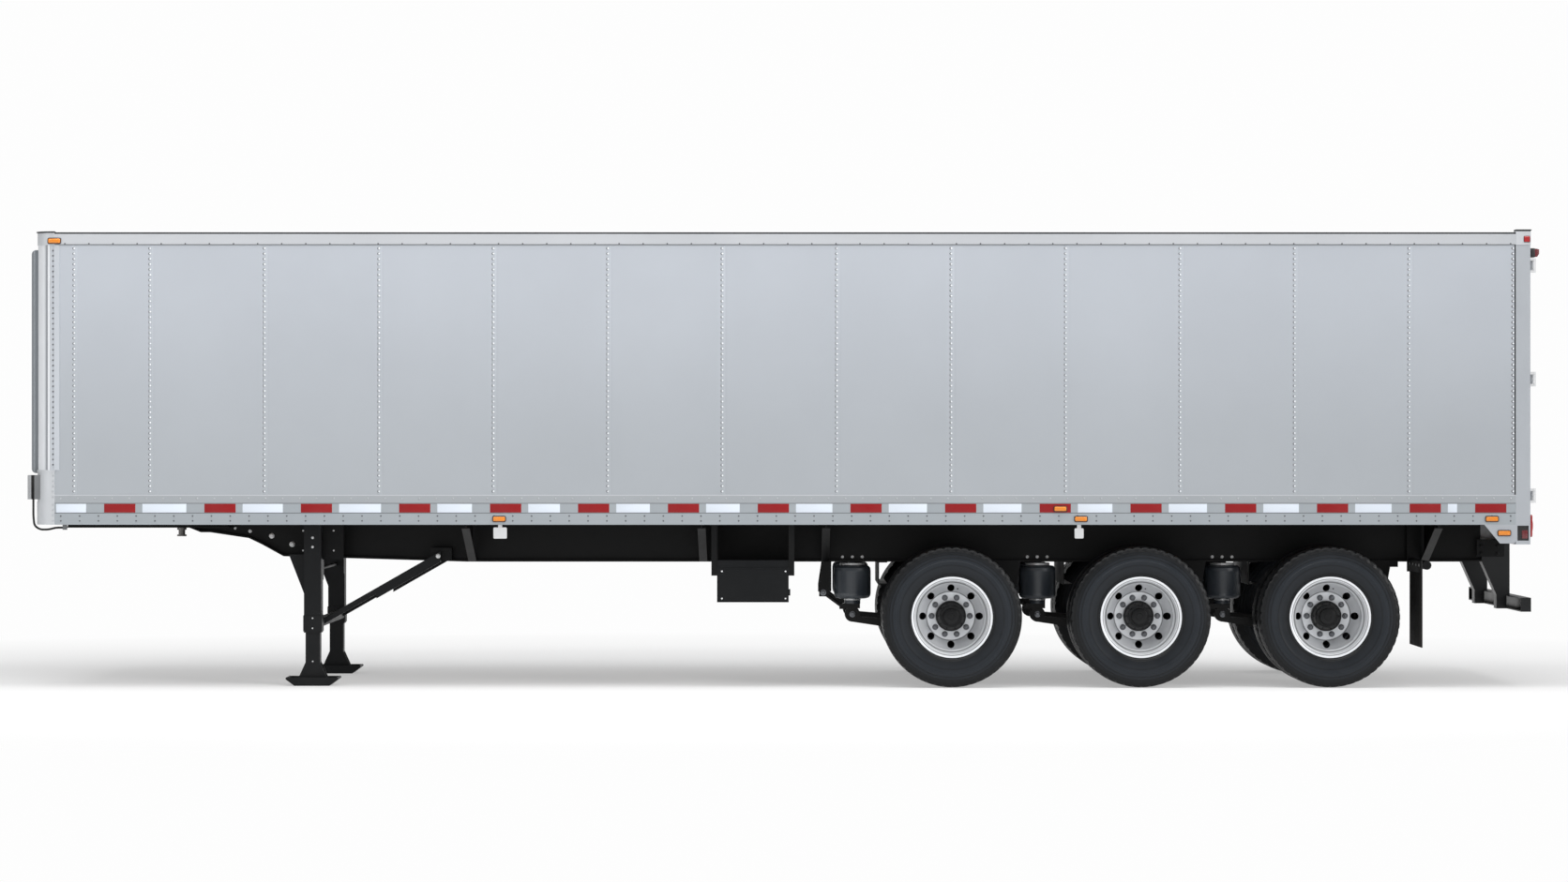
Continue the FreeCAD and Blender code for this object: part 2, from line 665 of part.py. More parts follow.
def roof():
    """Roof sheet under the rail flanges, and the bows that hold it up."""
    node(round_nosed("roof", "wall_in", "roof_bottom", "roof_thickness"), "roof")
    bow = prism("roof_bow", "XZ", [
        ("inside_x + bow_pitch / 2", "roof_bottom - bow_depth"),
        ("inside_x + bow_pitch / 2 + bow_width", "roof_bottom - bow_depth"),
        ("inside_x + bow_pitch / 2 + bow_width", "roof_bottom"),
        ("inside_x + bow_pitch / 2", "roof_bottom"),
    ], "-wall_in", "2 * wall_in")
    span = "(post_x - inside_x - bow_pitch)"
    count = f"floor({span} / bow_pitch) + 1"
    row(bow, "X", f"floor({span} / bow_pitch) * bow_pitch", count)
    node(bow, "roof_bows")


def floor_and_beams():
    """Hardwood floor on rolled crossmembers that stand on the lower flanges of the rails."""
    deck = round_nosed("floor", "(wall_in - rail_wall)", "floor_bottom", "floor_thickness")
    node(deck, "floor")
    first = "first_beam"
    half_web = "beam_web / 2"
    middle = f"({first} + beam_width / 2)"
    beam = prism("crossmember", "XZ", [
        (first, "beam_bottom"),
        (f"{first} + beam_width", "beam_bottom"),
        (f"{first} + beam_width", "beam_bottom + beam_flange"),
        (f"{middle} + {half_web}", "beam_bottom + beam_flange"),
        (f"{middle} + {half_web}", "floor_bottom - beam_flange"),
        (f"{first} + beam_width", "floor_bottom - beam_flange"),
        (f"{first} + beam_width", "floor_bottom"),
        (first, "floor_bottom"),
        (first, "floor_bottom - beam_flange"),
        (f"{middle} - {half_web}", "floor_bottom - beam_flange"),
        (f"{middle} - {half_web}", "beam_bottom + beam_flange"),
        (first, "beam_bottom + beam_flange"),
    ], "-wall_out", "2 * wall_out")
    count = f"floor((post_x - {first} - beam_width) / beam_pitch)"
    row(beam, "X", f"{count} * beam_pitch", f"{count} + 1")
    node(beam, "crossmembers")


# ---------------------------------------------------------------- rear frame and doors
def rear_posts():
    """Rear corner posts: heavier head and lid, pocket for a side lamp, gusset to the rail."""
    body_top = "(rear_frame_top - cap_thick)"
    body = block("post_body", ("post_x", "rear_post_depth"), ("post_in", "rear_post_width"),
                 ("rear_frame_bottom", f"{body_top} - rear_frame_bottom"))
    head = block("post_head_block", ("post_x", "rear_post_depth + post_step"),
                 ("post_in", "rear_post_width + post_step"), (f"{body_top} - post_head", "post_head"))
    lid = block("post_lid", ("post_x", "rear_post_depth + cap_over"),
                ("post_in", "rear_post_width + cap_over"), (body_top, "cap_thick"))
    gusset = prism("post_gusset", "XZ", [
        ("post_x - gusset_run", "body_bottom"),
        ("post_x - gusset_run / 2", "gusset_low"),
        ("post_x - gusset_flat", "gusset_low"),
        ("post_x", "gusset_low + gusset_flat"),
        ("post_x", "body_bottom"),
    ], "half_width - gusset_thick", "gusset_thick")
    pocket = block("post_pocket", ("post_x + pocket_rim", "rear_post_depth - 2 * pocket_rim"),
                   ("half_width - pocket_depth", "2 * pocket_depth"),
                   ("pocket_low", "pocket_high - pocket_low"))
    post = cut("rear_post", fused("post_whole", [body, head, lid, gusset]), pocket)
    node(pair("rear_posts", post), "rear_posts")


def header_and_sill():
    """Box header over the doors and channel sill under them."""
    header = block("rear_header", ("post_x", "rear_post_depth"), ("-post_in", "2 * post_in"),
                   ("header_bottom", "header_height"))
    node(header, "rear_header")
    sill = prism("rear_sill", "XZ", [
        ("post_x", "rear_frame_bottom"),
        ("rear_x", "rear_frame_bottom"),
        ("rear_x", "floor_top"),
        ("post_x", "floor_top"),
        ("post_x", "floor_top - sill_plate"),
        ("rear_x - sill_plate", "floor_top - sill_plate"),
        ("rear_x - sill_plate", "rear_frame_bottom + sill_plate"),
        ("post_x", "rear_frame_bottom + sill_plate"),
    ], "-post_in", "2 * post_in")
    node(sill, "rear_sill")


# middle of each hinge and of each lock rod guide, as shares of the door's height
HINGES = [0.0485, 0.495, 0.931]
GUIDES = [0.075, 0.265, 0.715, 0.92]
# middle of each lock rod, as a share of the door's width from its free edge
LOCK_RODS = [0.6, 0.2]
# the handles, as a share of the door's height
HANDLE = 0.225


def up_door(share):
    """Height above the ground of a share of the door's height."""
    return f"(door_bottom + {share} * (door_top - door_bottom))"


def lock_rod_y(share):
    """Place of a lock rod across the van."""
    return f"(door_gap + {share} * (post_in - 2 * door_gap))"


def hinge_brackets():
    """Post-side halves of the hinges, and the keepers of the lock rods on header and sill."""
    pieces = []
    for i, share in enumerate(HINGES, start=1):
        low = f"({up_door(share)} - hinge_strap / 2 - lug_gap - hinge_lug)"
        high = f"({up_door(share)} + hinge_strap / 2 + lug_gap)"
        bracket = [rod(f"hinge_pin_{i}", "Z", ("hinge_x", "hinge_y", low), "hinge_pin",
                       "hinge_strap + 2 * lug_gap + 2 * hinge_lug")]
        for end, bottom in (("low", low), ("high", high)):
            name = f"hinge_{i}_{end}"
            bracket.append(rod(name + "_boss", "Z", ("hinge_x", "hinge_y", bottom),
                               "hinge_boss", "hinge_lug"))
            bracket.append(block(name + "_arm", ("rear_x", "hinge_back"),
                                 ("hinge_y - hinge_boss", "2 * hinge_boss"), (bottom, "hinge_lug")))
            bracket.append(block(name + "_leaf", ("rear_x", "strap_thick"),
                                 ("post_in + hinge_boss", "hinge_y - post_in"),
                                 (bottom, "hinge_lug")))
        pieces.append(fused(f"hinge_{i}", bracket))
    reach = "(cam_width / 2 + keeper_gap)"
    for i, share in enumerate(LOCK_RODS, start=1):
        middle = lock_rod_y(share)
        for end, bottom in (("head", "header_bottom"), ("foot", "floor_top - keeper_height")):
            for side, place in (("in", f"{middle} - {reach} - keeper_lug"),
                                ("out", f"{middle} + {reach}")):
                pieces.append(block(f"keeper_{i}_{end}_{side}", ("rear_x", "hinge_back"),
                                    (place, "keeper_lug"), (bottom, "keeper_height")))
    node(pair("hinge_brackets", several("hinge_set", pieces)), "hinge_brackets")


def door_panels():
    """Two slabs that fill the opening between posts, sill and header."""
    panel = block("door_right", ("door_in_x", "door_thickness"),
                  ("door_gap", "post_in - 2 * door_gap"), ("door_bottom", "door_top - door_bottom"))
    node(panel, "door_right")
    node(mirrored("door_left", panel), "door_left")


def door_straps():
    """Door-side halves of the hinges: a leaf on the door and a cranked strap to the pin."""
    straps = []
    face = "door_out_x"
    edge = "(post_in - door_gap)"
    crank = f"({face} + strap_leaf - strap_thick)"
    for i, share in enumerate(HINGES, start=1):
        low = f"({up_door(share)} - hinge_strap / 2)"
        leaf = prism(f"strap_{i}_leaf", "XY", [
            (face, f"{edge} - strap_reach"),
            (f"{face} + strap_leaf", f"{edge} - strap_reach"),
            (f"{face} + strap_leaf", "hinge_y - 2 * hinge_boss"),
            ("hinge_x + hinge_boss / 2", "hinge_y - hinge_boss / 2"),
            ("hinge_x - hinge_boss / 2", "hinge_y + hinge_boss / 2"),
            (crank, "hinge_y - hinge_boss"),
            (crank, edge),
            (face, edge),
        ], low, "hinge_strap")
        knuckle = rod(f"strap_{i}_knuckle", "Z", ("hinge_x", "hinge_y", low),
                      "hinge_boss", "hinge_strap")
        bore = rod(f"strap_{i}_bore", "Z", ("hinge_x", "hinge_y", f"{low} - lug_gap"),
                   "hinge_pin + running_gap", "hinge_strap + 2 * lug_gap")
        straps.append(cut(f"strap_{i}", fused(f"strap_{i}_body", [leaf, knuckle]), bore))
    whole = several("door_right_straps", straps)
    node(whole, "door_right_straps")
    node(mirrored("door_left_straps", whole), "door_left_straps")


def lock_rods():
    """Lock rods with a cam at each end and a handle, and the guides that hold them."""
    rods = []
    guides = []
    off = "(door_out_x + lock_rod_off)"
    around = (f"{off} - lock_rod_radius", "2 * lock_rod_radius")
    for i, share in enumerate(LOCK_RODS, start=1):
        y = lock_rod_y(share)
        name = f"lock_rod_{i}"
        bar = [
            rod(name + "_tube", "Z", (off, y, "door_bottom"), "lock_rod_radius",
                "door_top - door_bottom"),
            block(name + "_handle", (f"{off} - lock_rod_radius / 2", "lock_rod_radius"),
                  (y, "lock_handle_length"), (up_door(HANDLE), "2 * lock_rod_radius")),
        ]
        for end, low in (("head", "door_top - cam_height / 4"),
                         ("foot", "door_bottom - cam_height * 3 / 4")):
            bar.append(block(f"{name}_cam_{end}", around, (f"{y} - cam_width / 2", "cam_width"),
                             (low, "cam_height")))
        rods.append(fused(name, bar))
        for j, height in enumerate(GUIDES, start=1):
            middle = up_door(height)
            body = block(f"guide_{i}_{j}_body", ("door_out_x", "lock_rod_off + lock_rod_radius"),
                         (f"{y} - lock_guide / 2", "lock_guide"),
                         (f"{middle} - lock_guide / 2", "lock_guide"))
            bore = rod(f"guide_{i}_{j}_bore", "Z", (off, y, f"{middle} - lock_guide"),
                       "lock_rod_radius + running_gap", "2 * lock_guide")
            guides.append(cut(f"guide_{i}_{j}", body, bore))
    whole = several("door_right_locks", rods + guides)
    node(whole, "door_right_locks")
    node(mirrored("door_left_locks", whole), "door_left_locks")


# ---------------------------------------------------------------- chassis
# lower edge of the gooseneck: shares of its length, and of the drop from the crossmembers to
# the underside of the level rail
NECK_FRONT = 0.014
NECK = [(0.0752, 0.2567), (0.1077, 0.2567), (0.2421, 0.4033), (0.2898, 0.57), (0.3627, 0.8633), (1, 1)]


def frame_rails():
    """Welded I-rails: web with the gooseneck's outline, two flanges, and the channels between."""
    high_z = "(beam_bottom - frame_flange_thick)"
    front = "(nose_x + neck_front)"
    edge = [(f"{front} + {NECK_FRONT} * neck_length", f"{high_z} - frame_flange_thick")]
    edge += [(f"{front} + {along} * neck_length", f"beam_bottom - {down} * (beam_bottom - frame_bottom)")
             for along, down in NECK]
    edge.append(("frame_end_x", "frame_bottom"))
    lift = [(x, f"{z} + frame_flange_thick") for x, z in edge]
    web = prism("frame_web", "XZ", lift + [("frame_end_x", high_z)],
                "frame_y - frame_web / 2", "frame_web")
    low = prism("frame_low_flange", "XZ", edge + lift[::-1], "flange_in", "frame_flange")
    high = block("frame_high_flange", (front, f"frame_end_x - {front}"),
                 ("flange_in", "frame_flange"), (high_z, "frame_flange_thick"))
    pieces = [pair("frame_rail_pair", several("frame_rail", [web, low, high]))]
    low_z = f"({high_z} - channel_height)"
    places = ["leg_x"] + [f"{axle_x(i)} + pivot_behind" for i in AXLES]
    for i, x in enumerate(places, start=1):
        pieces.append(prism(f"cross_channel_{i}", "XZ", [
            (x, low_z),
            (f"{x} + beam_width", low_z),
            (f"{x} + beam_width", f"{low_z} + frame_web"),
            (f"{x} + frame_web", f"{low_z} + frame_web"),
            (f"{x} + frame_web", f"{high_z} - frame_web"),
            (f"{x} + beam_width", f"{high_z} - frame_web"),
            (f"{x} + beam_width", high_z),
            (x, high_z),
        ], "-(frame_y - frame_web / 2)", "2 * frame_y - frame_web"))
    node(several("frame_rails", pieces), "frame_rails")


# where the outriggers stand along the van: behind the legs, by the toolbox, in front of the
# first axle and behind the mud flaps
OUTRIGGERS = ["leg_x + 1176", "box_x - 114", "first_axle - 936", "flap_x + 126"]


def outriggers():
    """Gusset brackets from the frame rails out to the bottom rails, and the mud flap arms."""
    pieces = []
    tip = "(beam_bottom - 3 * frame_flange_thick)"
    for i, x in enumerate(OUTRIGGERS, start=1):
        web = prism(f"outrigger_{i}_web", "YZ", [
            ("flange_out", "frame_bottom"),
            ("wall_out", tip),
            ("wall_out", "body_bottom"),
            ("wall_out - flange_reach", "body_bottom"),
            ("wall_out - flange_reach", "beam_bottom"),
            ("flange_out", "beam_bottom"),
        ], f"{x} - frame_web / 2", "frame_web")
        flange = prism(f"outrigger_{i}_flange", "YZ", [
            ("flange_out", "frame_bottom"),
            ("wall_out", tip),
            ("wall_out", f"{tip} + frame_web"),
            ("flange_out", "frame_bottom + frame_flange_thick"),
        ], f"{x} - flange_reach / 2", "flange_reach")
        pieces.append(fused(f"outrigger_{i}", [web, flange]))
    arm_x = "(flap_x + flap_thick + flap_arm)"
    foot = "(flange_out + frame_web)"
    pieces.append(fused("flap_arm_whole", [
        block("flap_arm_foot", (f"{arm_x} - 1.5 * flap_arm", "3 * flap_arm"),
              ("flange_out", "frame_web"),
              ("flap_top - 3 * flap_arm", "beam_bottom - flap_top + 3 * flap_arm")),
        rod("flap_arm_tube", "Y", (arm_x, foot, "flap_top - flap_arm"), "flap_arm",
            f"flap_edge - {foot}"),
    ]))
    pieces.append(block("flap_clamp_plate", ("flap_x - flap_thick", "flap_thick"),
                        ("wheel_mid - flap_width / 2", "flap_width"),
                        ("flap_top - flap_clamp", "flap_clamp")))
    node(pair("outriggers", several("outrigger_row", pieces)), "outriggers")


def coupler():
    """Coupler plate with its ribs up to the crossmembers, slotted round the frame rails."""
    height = "beam_bottom - coupler_top"
    pieces = [block("coupler_sheet", ("coupler_x", "coupler_length"),
                    ("-coupler_width / 2", "coupler_width"), ("coupler_bottom", "coupler_plate"))]
    edge_rib = "(coupler_width / 2 - rib_edge)"
    inner_rib = "(frame_y - rib_in)"
    for i, middle in enumerate((f"-{edge_rib}", f"-{inner_rib}", "0", inner_rib, edge_rib), start=1):
        pieces.append(block(f"coupler_rib_{i}", ("coupler_x", "coupler_length"),
                            (f"{middle} - coupler_rib / 2", "coupler_rib"), ("coupler_top", height)))
    slot = block("coupler_slot", ("nose_x + neck_front - lug_gap", "coupler_length"),
                 ("flange_in - lug_gap", "frame_flange + 2 * lug_gap"),
                 ("coupler_bottom - coupler_plate", "beam_bottom - coupler_bottom + coupler_plate"))
    hole = rod("coupler_hole", "Z", ("kingpin_x", "0", "coupler_bottom - coupler_plate"),
               "kingpin_shoulder + running_gap", "2 * coupler_plate")
    slotted = cut("coupler_slotted", fused("coupler_ribbed", pieces), pair("coupler_slots", slot))
    node(cut("coupler_plate_node", slotted, hole), "coupler_plate")


def kingpin():
    """Kingpin: shoulder let into the plate under the middle rib, locking neck and head."""
    shoulder = "-kingpin_shoulder_length"
    neck = f"({shoulder} - kingpin_neck)"
    head = f"({neck} - kingpin_head_length)"
    pin = lathe("kingpin", "Z", [
        ("coupler_plate", "0"),
        ("coupler_plate", "kingpin_shoulder"),
        (shoulder, "kingpin_shoulder"),
        (shoulder, "kingpin_radius"),
        (neck, "kingpin_radius"),
        (neck, "kingpin_shoulder"),
        (head, "kingpin_shoulder"),
        (head, "0"),
    ])
    node(seat(pin, x="kingpin_x", z="coupler_bottom"), "kingpin")


# ---------------------------------------------------------------- landing gear
def landing_legs():
    """Square outer tubes with a collar, a wing plate in front and the gearbox inboard."""
    half = "leg_tube / 2"
    height = "beam_bottom - leg_tube_bottom"
    wide = "(leg_tube + 2 * collar_thick)"
    outer = block("leg_outer", (f"leg_x - {half}", "leg_tube"), (f"leg_y - {half}", "leg_tube"),
                  ("leg_tube_bottom", height))
    collar = block("leg_collar", (f"leg_x - {wide} / 2", wide), (f"leg_y - {wide} / 2", wide),
                   ("leg_tube_bottom + leg_inner_wall", "collar_height"))
    wing = prism("leg_wing", "XZ", [
        (f"leg_x - {half}", "wing_low"),
        (f"leg_x - {half}", "wing_top"),
        (f"leg_x - {half} - wing_run", "wing_top"),
    ], "leg_y - leg_plate / 2", "leg_plate")
    box = block("leg_gearbox", (f"leg_x - {half}", "leg_tube"),
                (f"leg_y - {half} - gearbox / 3", "gearbox / 3"), ("shaft_z - gearbox / 2", "gearbox"))
    bore_size = "(leg_inner + 2 * leg_gap)"
    bore = block("leg_bore", (f"leg_x - {bore_size} / 2", bore_size),
                 (f"leg_y - {bore_size} / 2", bore_size),
                 ("leg_tube_bottom - leg_gap", f"{height} - leg_tube"))
    leg = cut("landing_leg", fused("leg_whole", [outer, collar, wing, box]), bore)
    node(pair("landing_legs", leg), "landing_legs")


def landing_feet():
    """Inner tubes that slide in the legs, on gusseted shoes with turned-up ends."""
    bottom = "shoe_neck - shoe_plate"
    top = "leg_tube_bottom + leg_overlap"
    tube = block("foot_tube", ("leg_x - leg_inner / 2", "leg_inner"),
                 ("leg_y - leg_inner / 2", "leg_inner"), (bottom, f"{top} - ({bottom})"))
    hollow = block("foot_hollow", ("leg_x - leg_inner / 2 + leg_inner_wall", "leg_inner - 2 * leg_inner_wall"),
                   ("leg_y - leg_inner / 2 + leg_inner_wall", "leg_inner - 2 * leg_inner_wall"),
                   ("shoe_neck", f"{top}"))
    half = "shoe_length / 2"
    flat = "shoe_length / 3"
    sole = prism("foot_sole", "XZ", [
        (f"leg_x - {flat}", "0"),
        (f"leg_x + {flat}", "0"),
        (f"leg_x + {half}", "shoe_height - shoe_plate"),
        (f"leg_x + {half}", "shoe_height"),
        (f"leg_x + {flat}", "shoe_plate"),
        (f"leg_x - {flat}", "shoe_plate"),
        (f"leg_x - {half}", "shoe_height"),
        (f"leg_x - {half}", "shoe_height - shoe_plate"),
    ], "leg_y - shoe_width / 2", "shoe_width")
    pieces = [cut("foot_tube_hollow", tube, hollow), sole]
    for i, place in enumerate(("leg_y - leg_inner / 2", "leg_y + leg_inner / 2 - shoe_plate")):
        pieces.append(prism(f"foot_gusset_{i}", "XZ", [
            (f"leg_x - {flat}", "shoe_plate / 2"),
            (f"leg_x + {flat}", "shoe_plate / 2"),
            ("leg_x + leg_inner / 2", "shoe_neck"),
            ("leg_x - leg_inner / 2", "shoe_neck"),
        ], place, "shoe_plate"))
    node(pair("landing_feet", fused("landing_foot", pieces)), "landing_feet")


def leg_mounts():
    """Plates on the inner faces of the legs with a box beam out from the frame rails."""
    plate_y = "(leg_y - leg_tube / 2 - leg_plate)"
    low = "(frame_bottom + 2 * leg_plate)"
    high = f"beam_bottom - {low}"
    plate = block("leg_plate_sheet", ("leg_x - plate_ahead", "plate_length"),
                  (plate_y, "leg_plate"), (low, high))
    beam = block("leg_beam", (LEG_BACK, "leg_tube"), ("flange_out", f"{plate_y} - flange_out"),
                 (low, high))
    ear = block("brace_ear", (f"{LEG_BACK} + brace_run - brace_depth", "2 * brace_depth"),
                ("flange_out", "brace_y - brace_width / 2 - flange_out"),
                ("frame_bottom + frame_flange_thick", "brace_high - frame_bottom + leg_plate"))
    node(pair("leg_mounts", several("leg_mount_set", [fused("leg_mount", [plate, beam]), ear])),
         "leg_mounts")


def leg_braces():
    """Cross tube, cross shaft and crank of the legs, and the diagonal braces to the frame."""
    inner = "(leg_y - leg_tube / 2)"
    outer = "(leg_y + leg_tube / 2)"
    cross = block("leg_cross_tube", (f"{LEG_BACK} - cross_tube", "cross_tube"),
                  (f"collar_thick - {inner}", f"2 * ({inner} - collar_thick)"),
                  ("brace_low - cross_tube", "cross_tube"))
    shaft_end = f"({inner} - gearbox / 3)"
    shaft = rod("leg_shaft", "Y", ("leg_x", f"-{shaft_end}", "shaft_z"),
                "shaft_radius", f"2 * {shaft_end}")
    reach = "crank_throw / 2"
    crank = fused("leg_crank", [
        rod("crank_shaft", "Y", ("leg_x", outer, "shaft_z"), "crank_radius", reach),
        rod("crank_arm", "Z", ("leg_x", f"{outer} + {reach} - crank_radius", "shaft_z - crank_throw"),
            "crank_radius", "crank_throw + crank_radius"),
        rod("crank_handle", "Y", ("leg_x", f"{outer} + {reach} - 2 * crank_radius",
                                  "shaft_z - crank_throw + crank_radius"), "crank_radius", reach),
    ])
    node(several("leg_cross_members", [cross, shaft, crank]), "leg_cross_members")
    step_x = f"({LEG_BACK} + brace_run * brace_step)"
    step_z = "(brace_low + (brace_high - brace_low) * brace_step)"
    bar = prism("leg_brace_bar", "XZ", [
        (LEG_BACK, "brace_low"),
        (f"{LEG_BACK} + brace_run", "brace_high"),
        (f"{LEG_BACK} + brace_run", "brace_high - brace_depth"),
        (step_x, f"{step_z} - brace_depth"),
        (step_x, f"{step_z} - brace_thin"),
        (LEG_BACK, "brace_low - brace_thin"),
    ], "brace_y - brace_width / 2", "brace_width")
    node(pair("leg_braces", bar), "leg_braces")


# ---------------------------------------------------------------- running gear
def axles():
    """Axle tubes with a spindle at each end, and a dust shield round each spindle."""
    pieces = []
    for i in AXLES:
        half = lathe(f"axle_{i + 1}_half", "Y", [
            ("0", "0"),
            ("0", "axle_radius"),
            ("shield_y - shield_thick", "axle_radius"),
            ("shield_y - shield_thick", "spindle_radius"),
            ("hub_face + spindle_end", "spindle_radius"),
            ("hub_face + spindle_end", "0"),
        ])
        seat(half, x=axle_x(i), z="axle_z")
        pieces.append(fused(f"axle_{i + 1}", [half, mirrored(f"axle_{i + 1}_other", half)]))
        shield = lathe(f"shield_{i + 1}", "Y", [
            ("shield_y - shield_thick", "spindle_radius"),
            ("shield_y - shield_thick", "drum_radius - drum_wall"),
            ("shield_y", "drum_radius - drum_wall"),
            ("shield_y", "spindle_radius"),
        ])
        pieces.append(pair(f"shields_{i + 1}", seat(shield, x=axle_x(i), z="axle_z")))
    node(several("axles", pieces), "axles")


PIVOT_GAP = "(arm_width / 2 + running_gap)"


def side_plates(name, outline):
    """An outline cut from plate on both sides of an arm, under each frame rail."""
    return [prism(f"{name}_{side}", "XZ", outline, place, "hanger_plate")
            for side, place in (("in", f"frame_y - {PIVOT_GAP} - hanger_plate"),
                                ("out", f"frame_y + {PIVOT_GAP}"))]


def hangers():
    """Hangers: a foot plate under the frame rail and two side plates that hold an arm's pivot.

    The first axle's levelling link has a short hanger of its own in front of the air spring.
    """
    pieces = []
    top = "(frame_bottom - hanger_plate)"
    ends = "(pivot_boss + hanger_plate)"
    for i in AXLES:
        x = f"({axle_x(i)} + pivot_behind)"
        name = f"hanger_{i + 1}"
        pieces.append(block(name + "_top", (f"{x} - frame_flange", "2 * frame_flange"),
                            (f"frame_y - {PIVOT_GAP} - hanger_plate", f"2 * {PIVOT_GAP} + 2 * hanger_plate"),
                            (top, "hanger_plate")))
        pieces += side_plates(name, [
            (f"{x} - frame_flange", top),
            (f"{x} - {ends}", "pivot_z + pivot_boss"),
            (f"{x} - {ends}", f"pivot_z - {ends}"),
            (f"{x} + {ends}", f"pivot_z - {ends}"),
            (f"{x} + {ends}", "pivot_z + pivot_boss"),
            (f"{x} + frame_flange", top),
        ])
    pin = f"({axle_x(0)} - spring_ahead - link_ahead)"
    ear = "(1.5 * link_radius)"
    pieces += side_plates("stay", [
        (f"{pin} - {ear}", f"link_pin_z - {ear}"),
        (f"{pin} + {ear}", f"link_pin_z - {ear}"),
        (f"{pin} + stay_width", "stay_low"),
        (f"{pin} + stay_width", "frame_bottom"),
        (pin, "frame_bottom"),
        (f"{pin} - {ear}", f"link_pin_z + {ear}"),
    ])
    pieces.append(block("stay_web", (pin, "hanger_plate"), (f"frame_y - {PIVOT_GAP}", f"2 * {PIVOT_GAP}"),
                        ("stay_low + 2 * link_radius", "frame_bottom - stay_low - 2 * link_radius")))
    node(pair("hangers", several("hanger_row", pieces)), "hangers")


def arm(i):
    """A trailing beam under its axle: spring seat and eye in front, saddle, pivot boss."""
    x = axle_x(i)
    name = f"arm_{i + 1}"
    y = "frame_y - arm_width / 2"
    front = f"({x} - spring_ahead)"
    back = f"({x} + pivot_behind)"
    under = "(axle_z - axle_radius)"
    cheek = "(axle_radius + hanger_plate)"
    beam = prism(name + "_beam", "XZ", [
        (front, "arm_eye_z - arm_eye"),
        (f"{x} - 2 * axle_radius", f"{under} - arm_width"),
        (f"{x} + 2 * axle_radius", f"{under} - arm_width"),
        (back, "pivot_z - pivot_boss"),
        (back, "pivot_z + pivot_boss"),
        (f"{x} + 3 * axle_radius", under),
        (f"{x} + {cheek}", under),
        (f"{x} + {cheek}", "axle_z"),
        (f"{x} - {cheek}", "axle_z"),
        (f"{x} - {cheek}", under),
        (f"{x} - 3 * axle_radius", under),
        (f"{front} + arm_eye", "arm_eye_z - arm_eye / 3"),
    ], y, "arm_width")
    eye = rod(name + "_eye", "Y", (front, y, "arm_eye_z"), "arm_eye", "arm_width")
    boss = rod(name + "_boss", "Y", (back, y, "pivot_z"), "pivot_boss", "arm_width")
    pad = block(name + "_pad", (f"{front} - arm_eye", "2 * arm_eye"), (y, "arm_width"),
                ("arm_seat - spring_radius / 4", "spring_radius / 4"))
    saddle = rod(name + "_saddle", "Y", (x, f"{y} - arm_width", "axle_z"),
                 "axle_radius + running_gap", "3 * arm_width")
    return cut(name, fused(name + "_whole", [beam, eye, boss, pad]), saddle)


def link(i):
    """The slanted levelling link from its pin between the hanger plates to the spring seat."""
    name = f"link_{i + 1}"
    pin = f"({axle_x(i)} - spring_ahead - link_ahead)"
    lug = f"({axle_x(i)} - spring_ahead - arm_eye - link_radius)"
    lug_z = "(arm_seat - link_radius)"
    run = f"({lug} - {pin})"
    fall = f"(link_pin_z - {lug_z})"
    bar = doc.addObject("Part::Cylinder", name + "_bar")
    bar.Placement.Rotation = FreeCAD.Rotation(Vector(0, 1, 0), 90)
    bar.setExpression(".Placement.Rotation.Angle", bind(f"90 deg + atan({fall} / {run})"))
    bar.setExpression("Radius", bind("link_radius * 0.7"))
    bar.setExpression("Height", bind(f"sqrt({run} ^ 2 + {fall} ^ 2)"))
    seat(bar, x=pin, y="frame_y", z="link_pin_z")
    eye = rod(name + "_eye", "Y", (pin, "frame_y - arm_width / 2", "link_pin_z"),
              "1.4 * link_radius", "arm_width")
    foot = block(name + "_foot", (f"{lug} - link_radius", "2 * link_radius"),
                 ("frame_y - arm_width / 2", "arm_width"), (f"{lug_z} - link_radius", "2 * link_radius"))
    return fused(name, [bar, eye, foot])


def damper(i):
    """A shock absorber from the arm's inner face up to a bracket under the frame rail."""
    name = f"damper_{i + 1}"
    x = f"({axle_x(i)} + damper_behind)"
    y = "(flange_in - damper_radius)"
    low = "(axle_z - axle_radius - arm_width / 2)"
    high = "(frame_bottom - frame_flange / 2)"
    can = lathe(name + "_can", "Z", [
        ("0", "0"),
        ("0", "damper_radius * 0.8"),
        (f"({high} - {low}) * 0.45", "damper_radius * 0.8"),
        (f"({high} - {low}) * 0.45", "damper_radius"),
        (f"{high} - {low}", "damper_radius"),
        (f"{high} - {low}", "0"),
    ])
    seat(can, x=x, y=y, z=low)
    eye = rod(name + "_eye", "Y", (x, f"{y} - damper_radius / 2", low), "damper_radius / 2",
              f"frame_y - arm_width / 2 - {y} + damper_radius / 2")
    bracket = block(name + "_bracket", (f"{x} - damper_radius", "2 * damper_radius"),
                    (f"{y} - damper_radius", "frame_y - flange_in + damper_radius"),
                    (high, f"frame_bottom - {high}"))
    return fused(name, [can, eye, bracket])


def suspension():
    """Arms, levelling links and shock absorbers of every axle."""
    pieces = [make(i) for i in AXLES for make in (arm, link, damper)]
    node(pair("suspension_arms", several("suspension_row", pieces)), "suspension_arms")


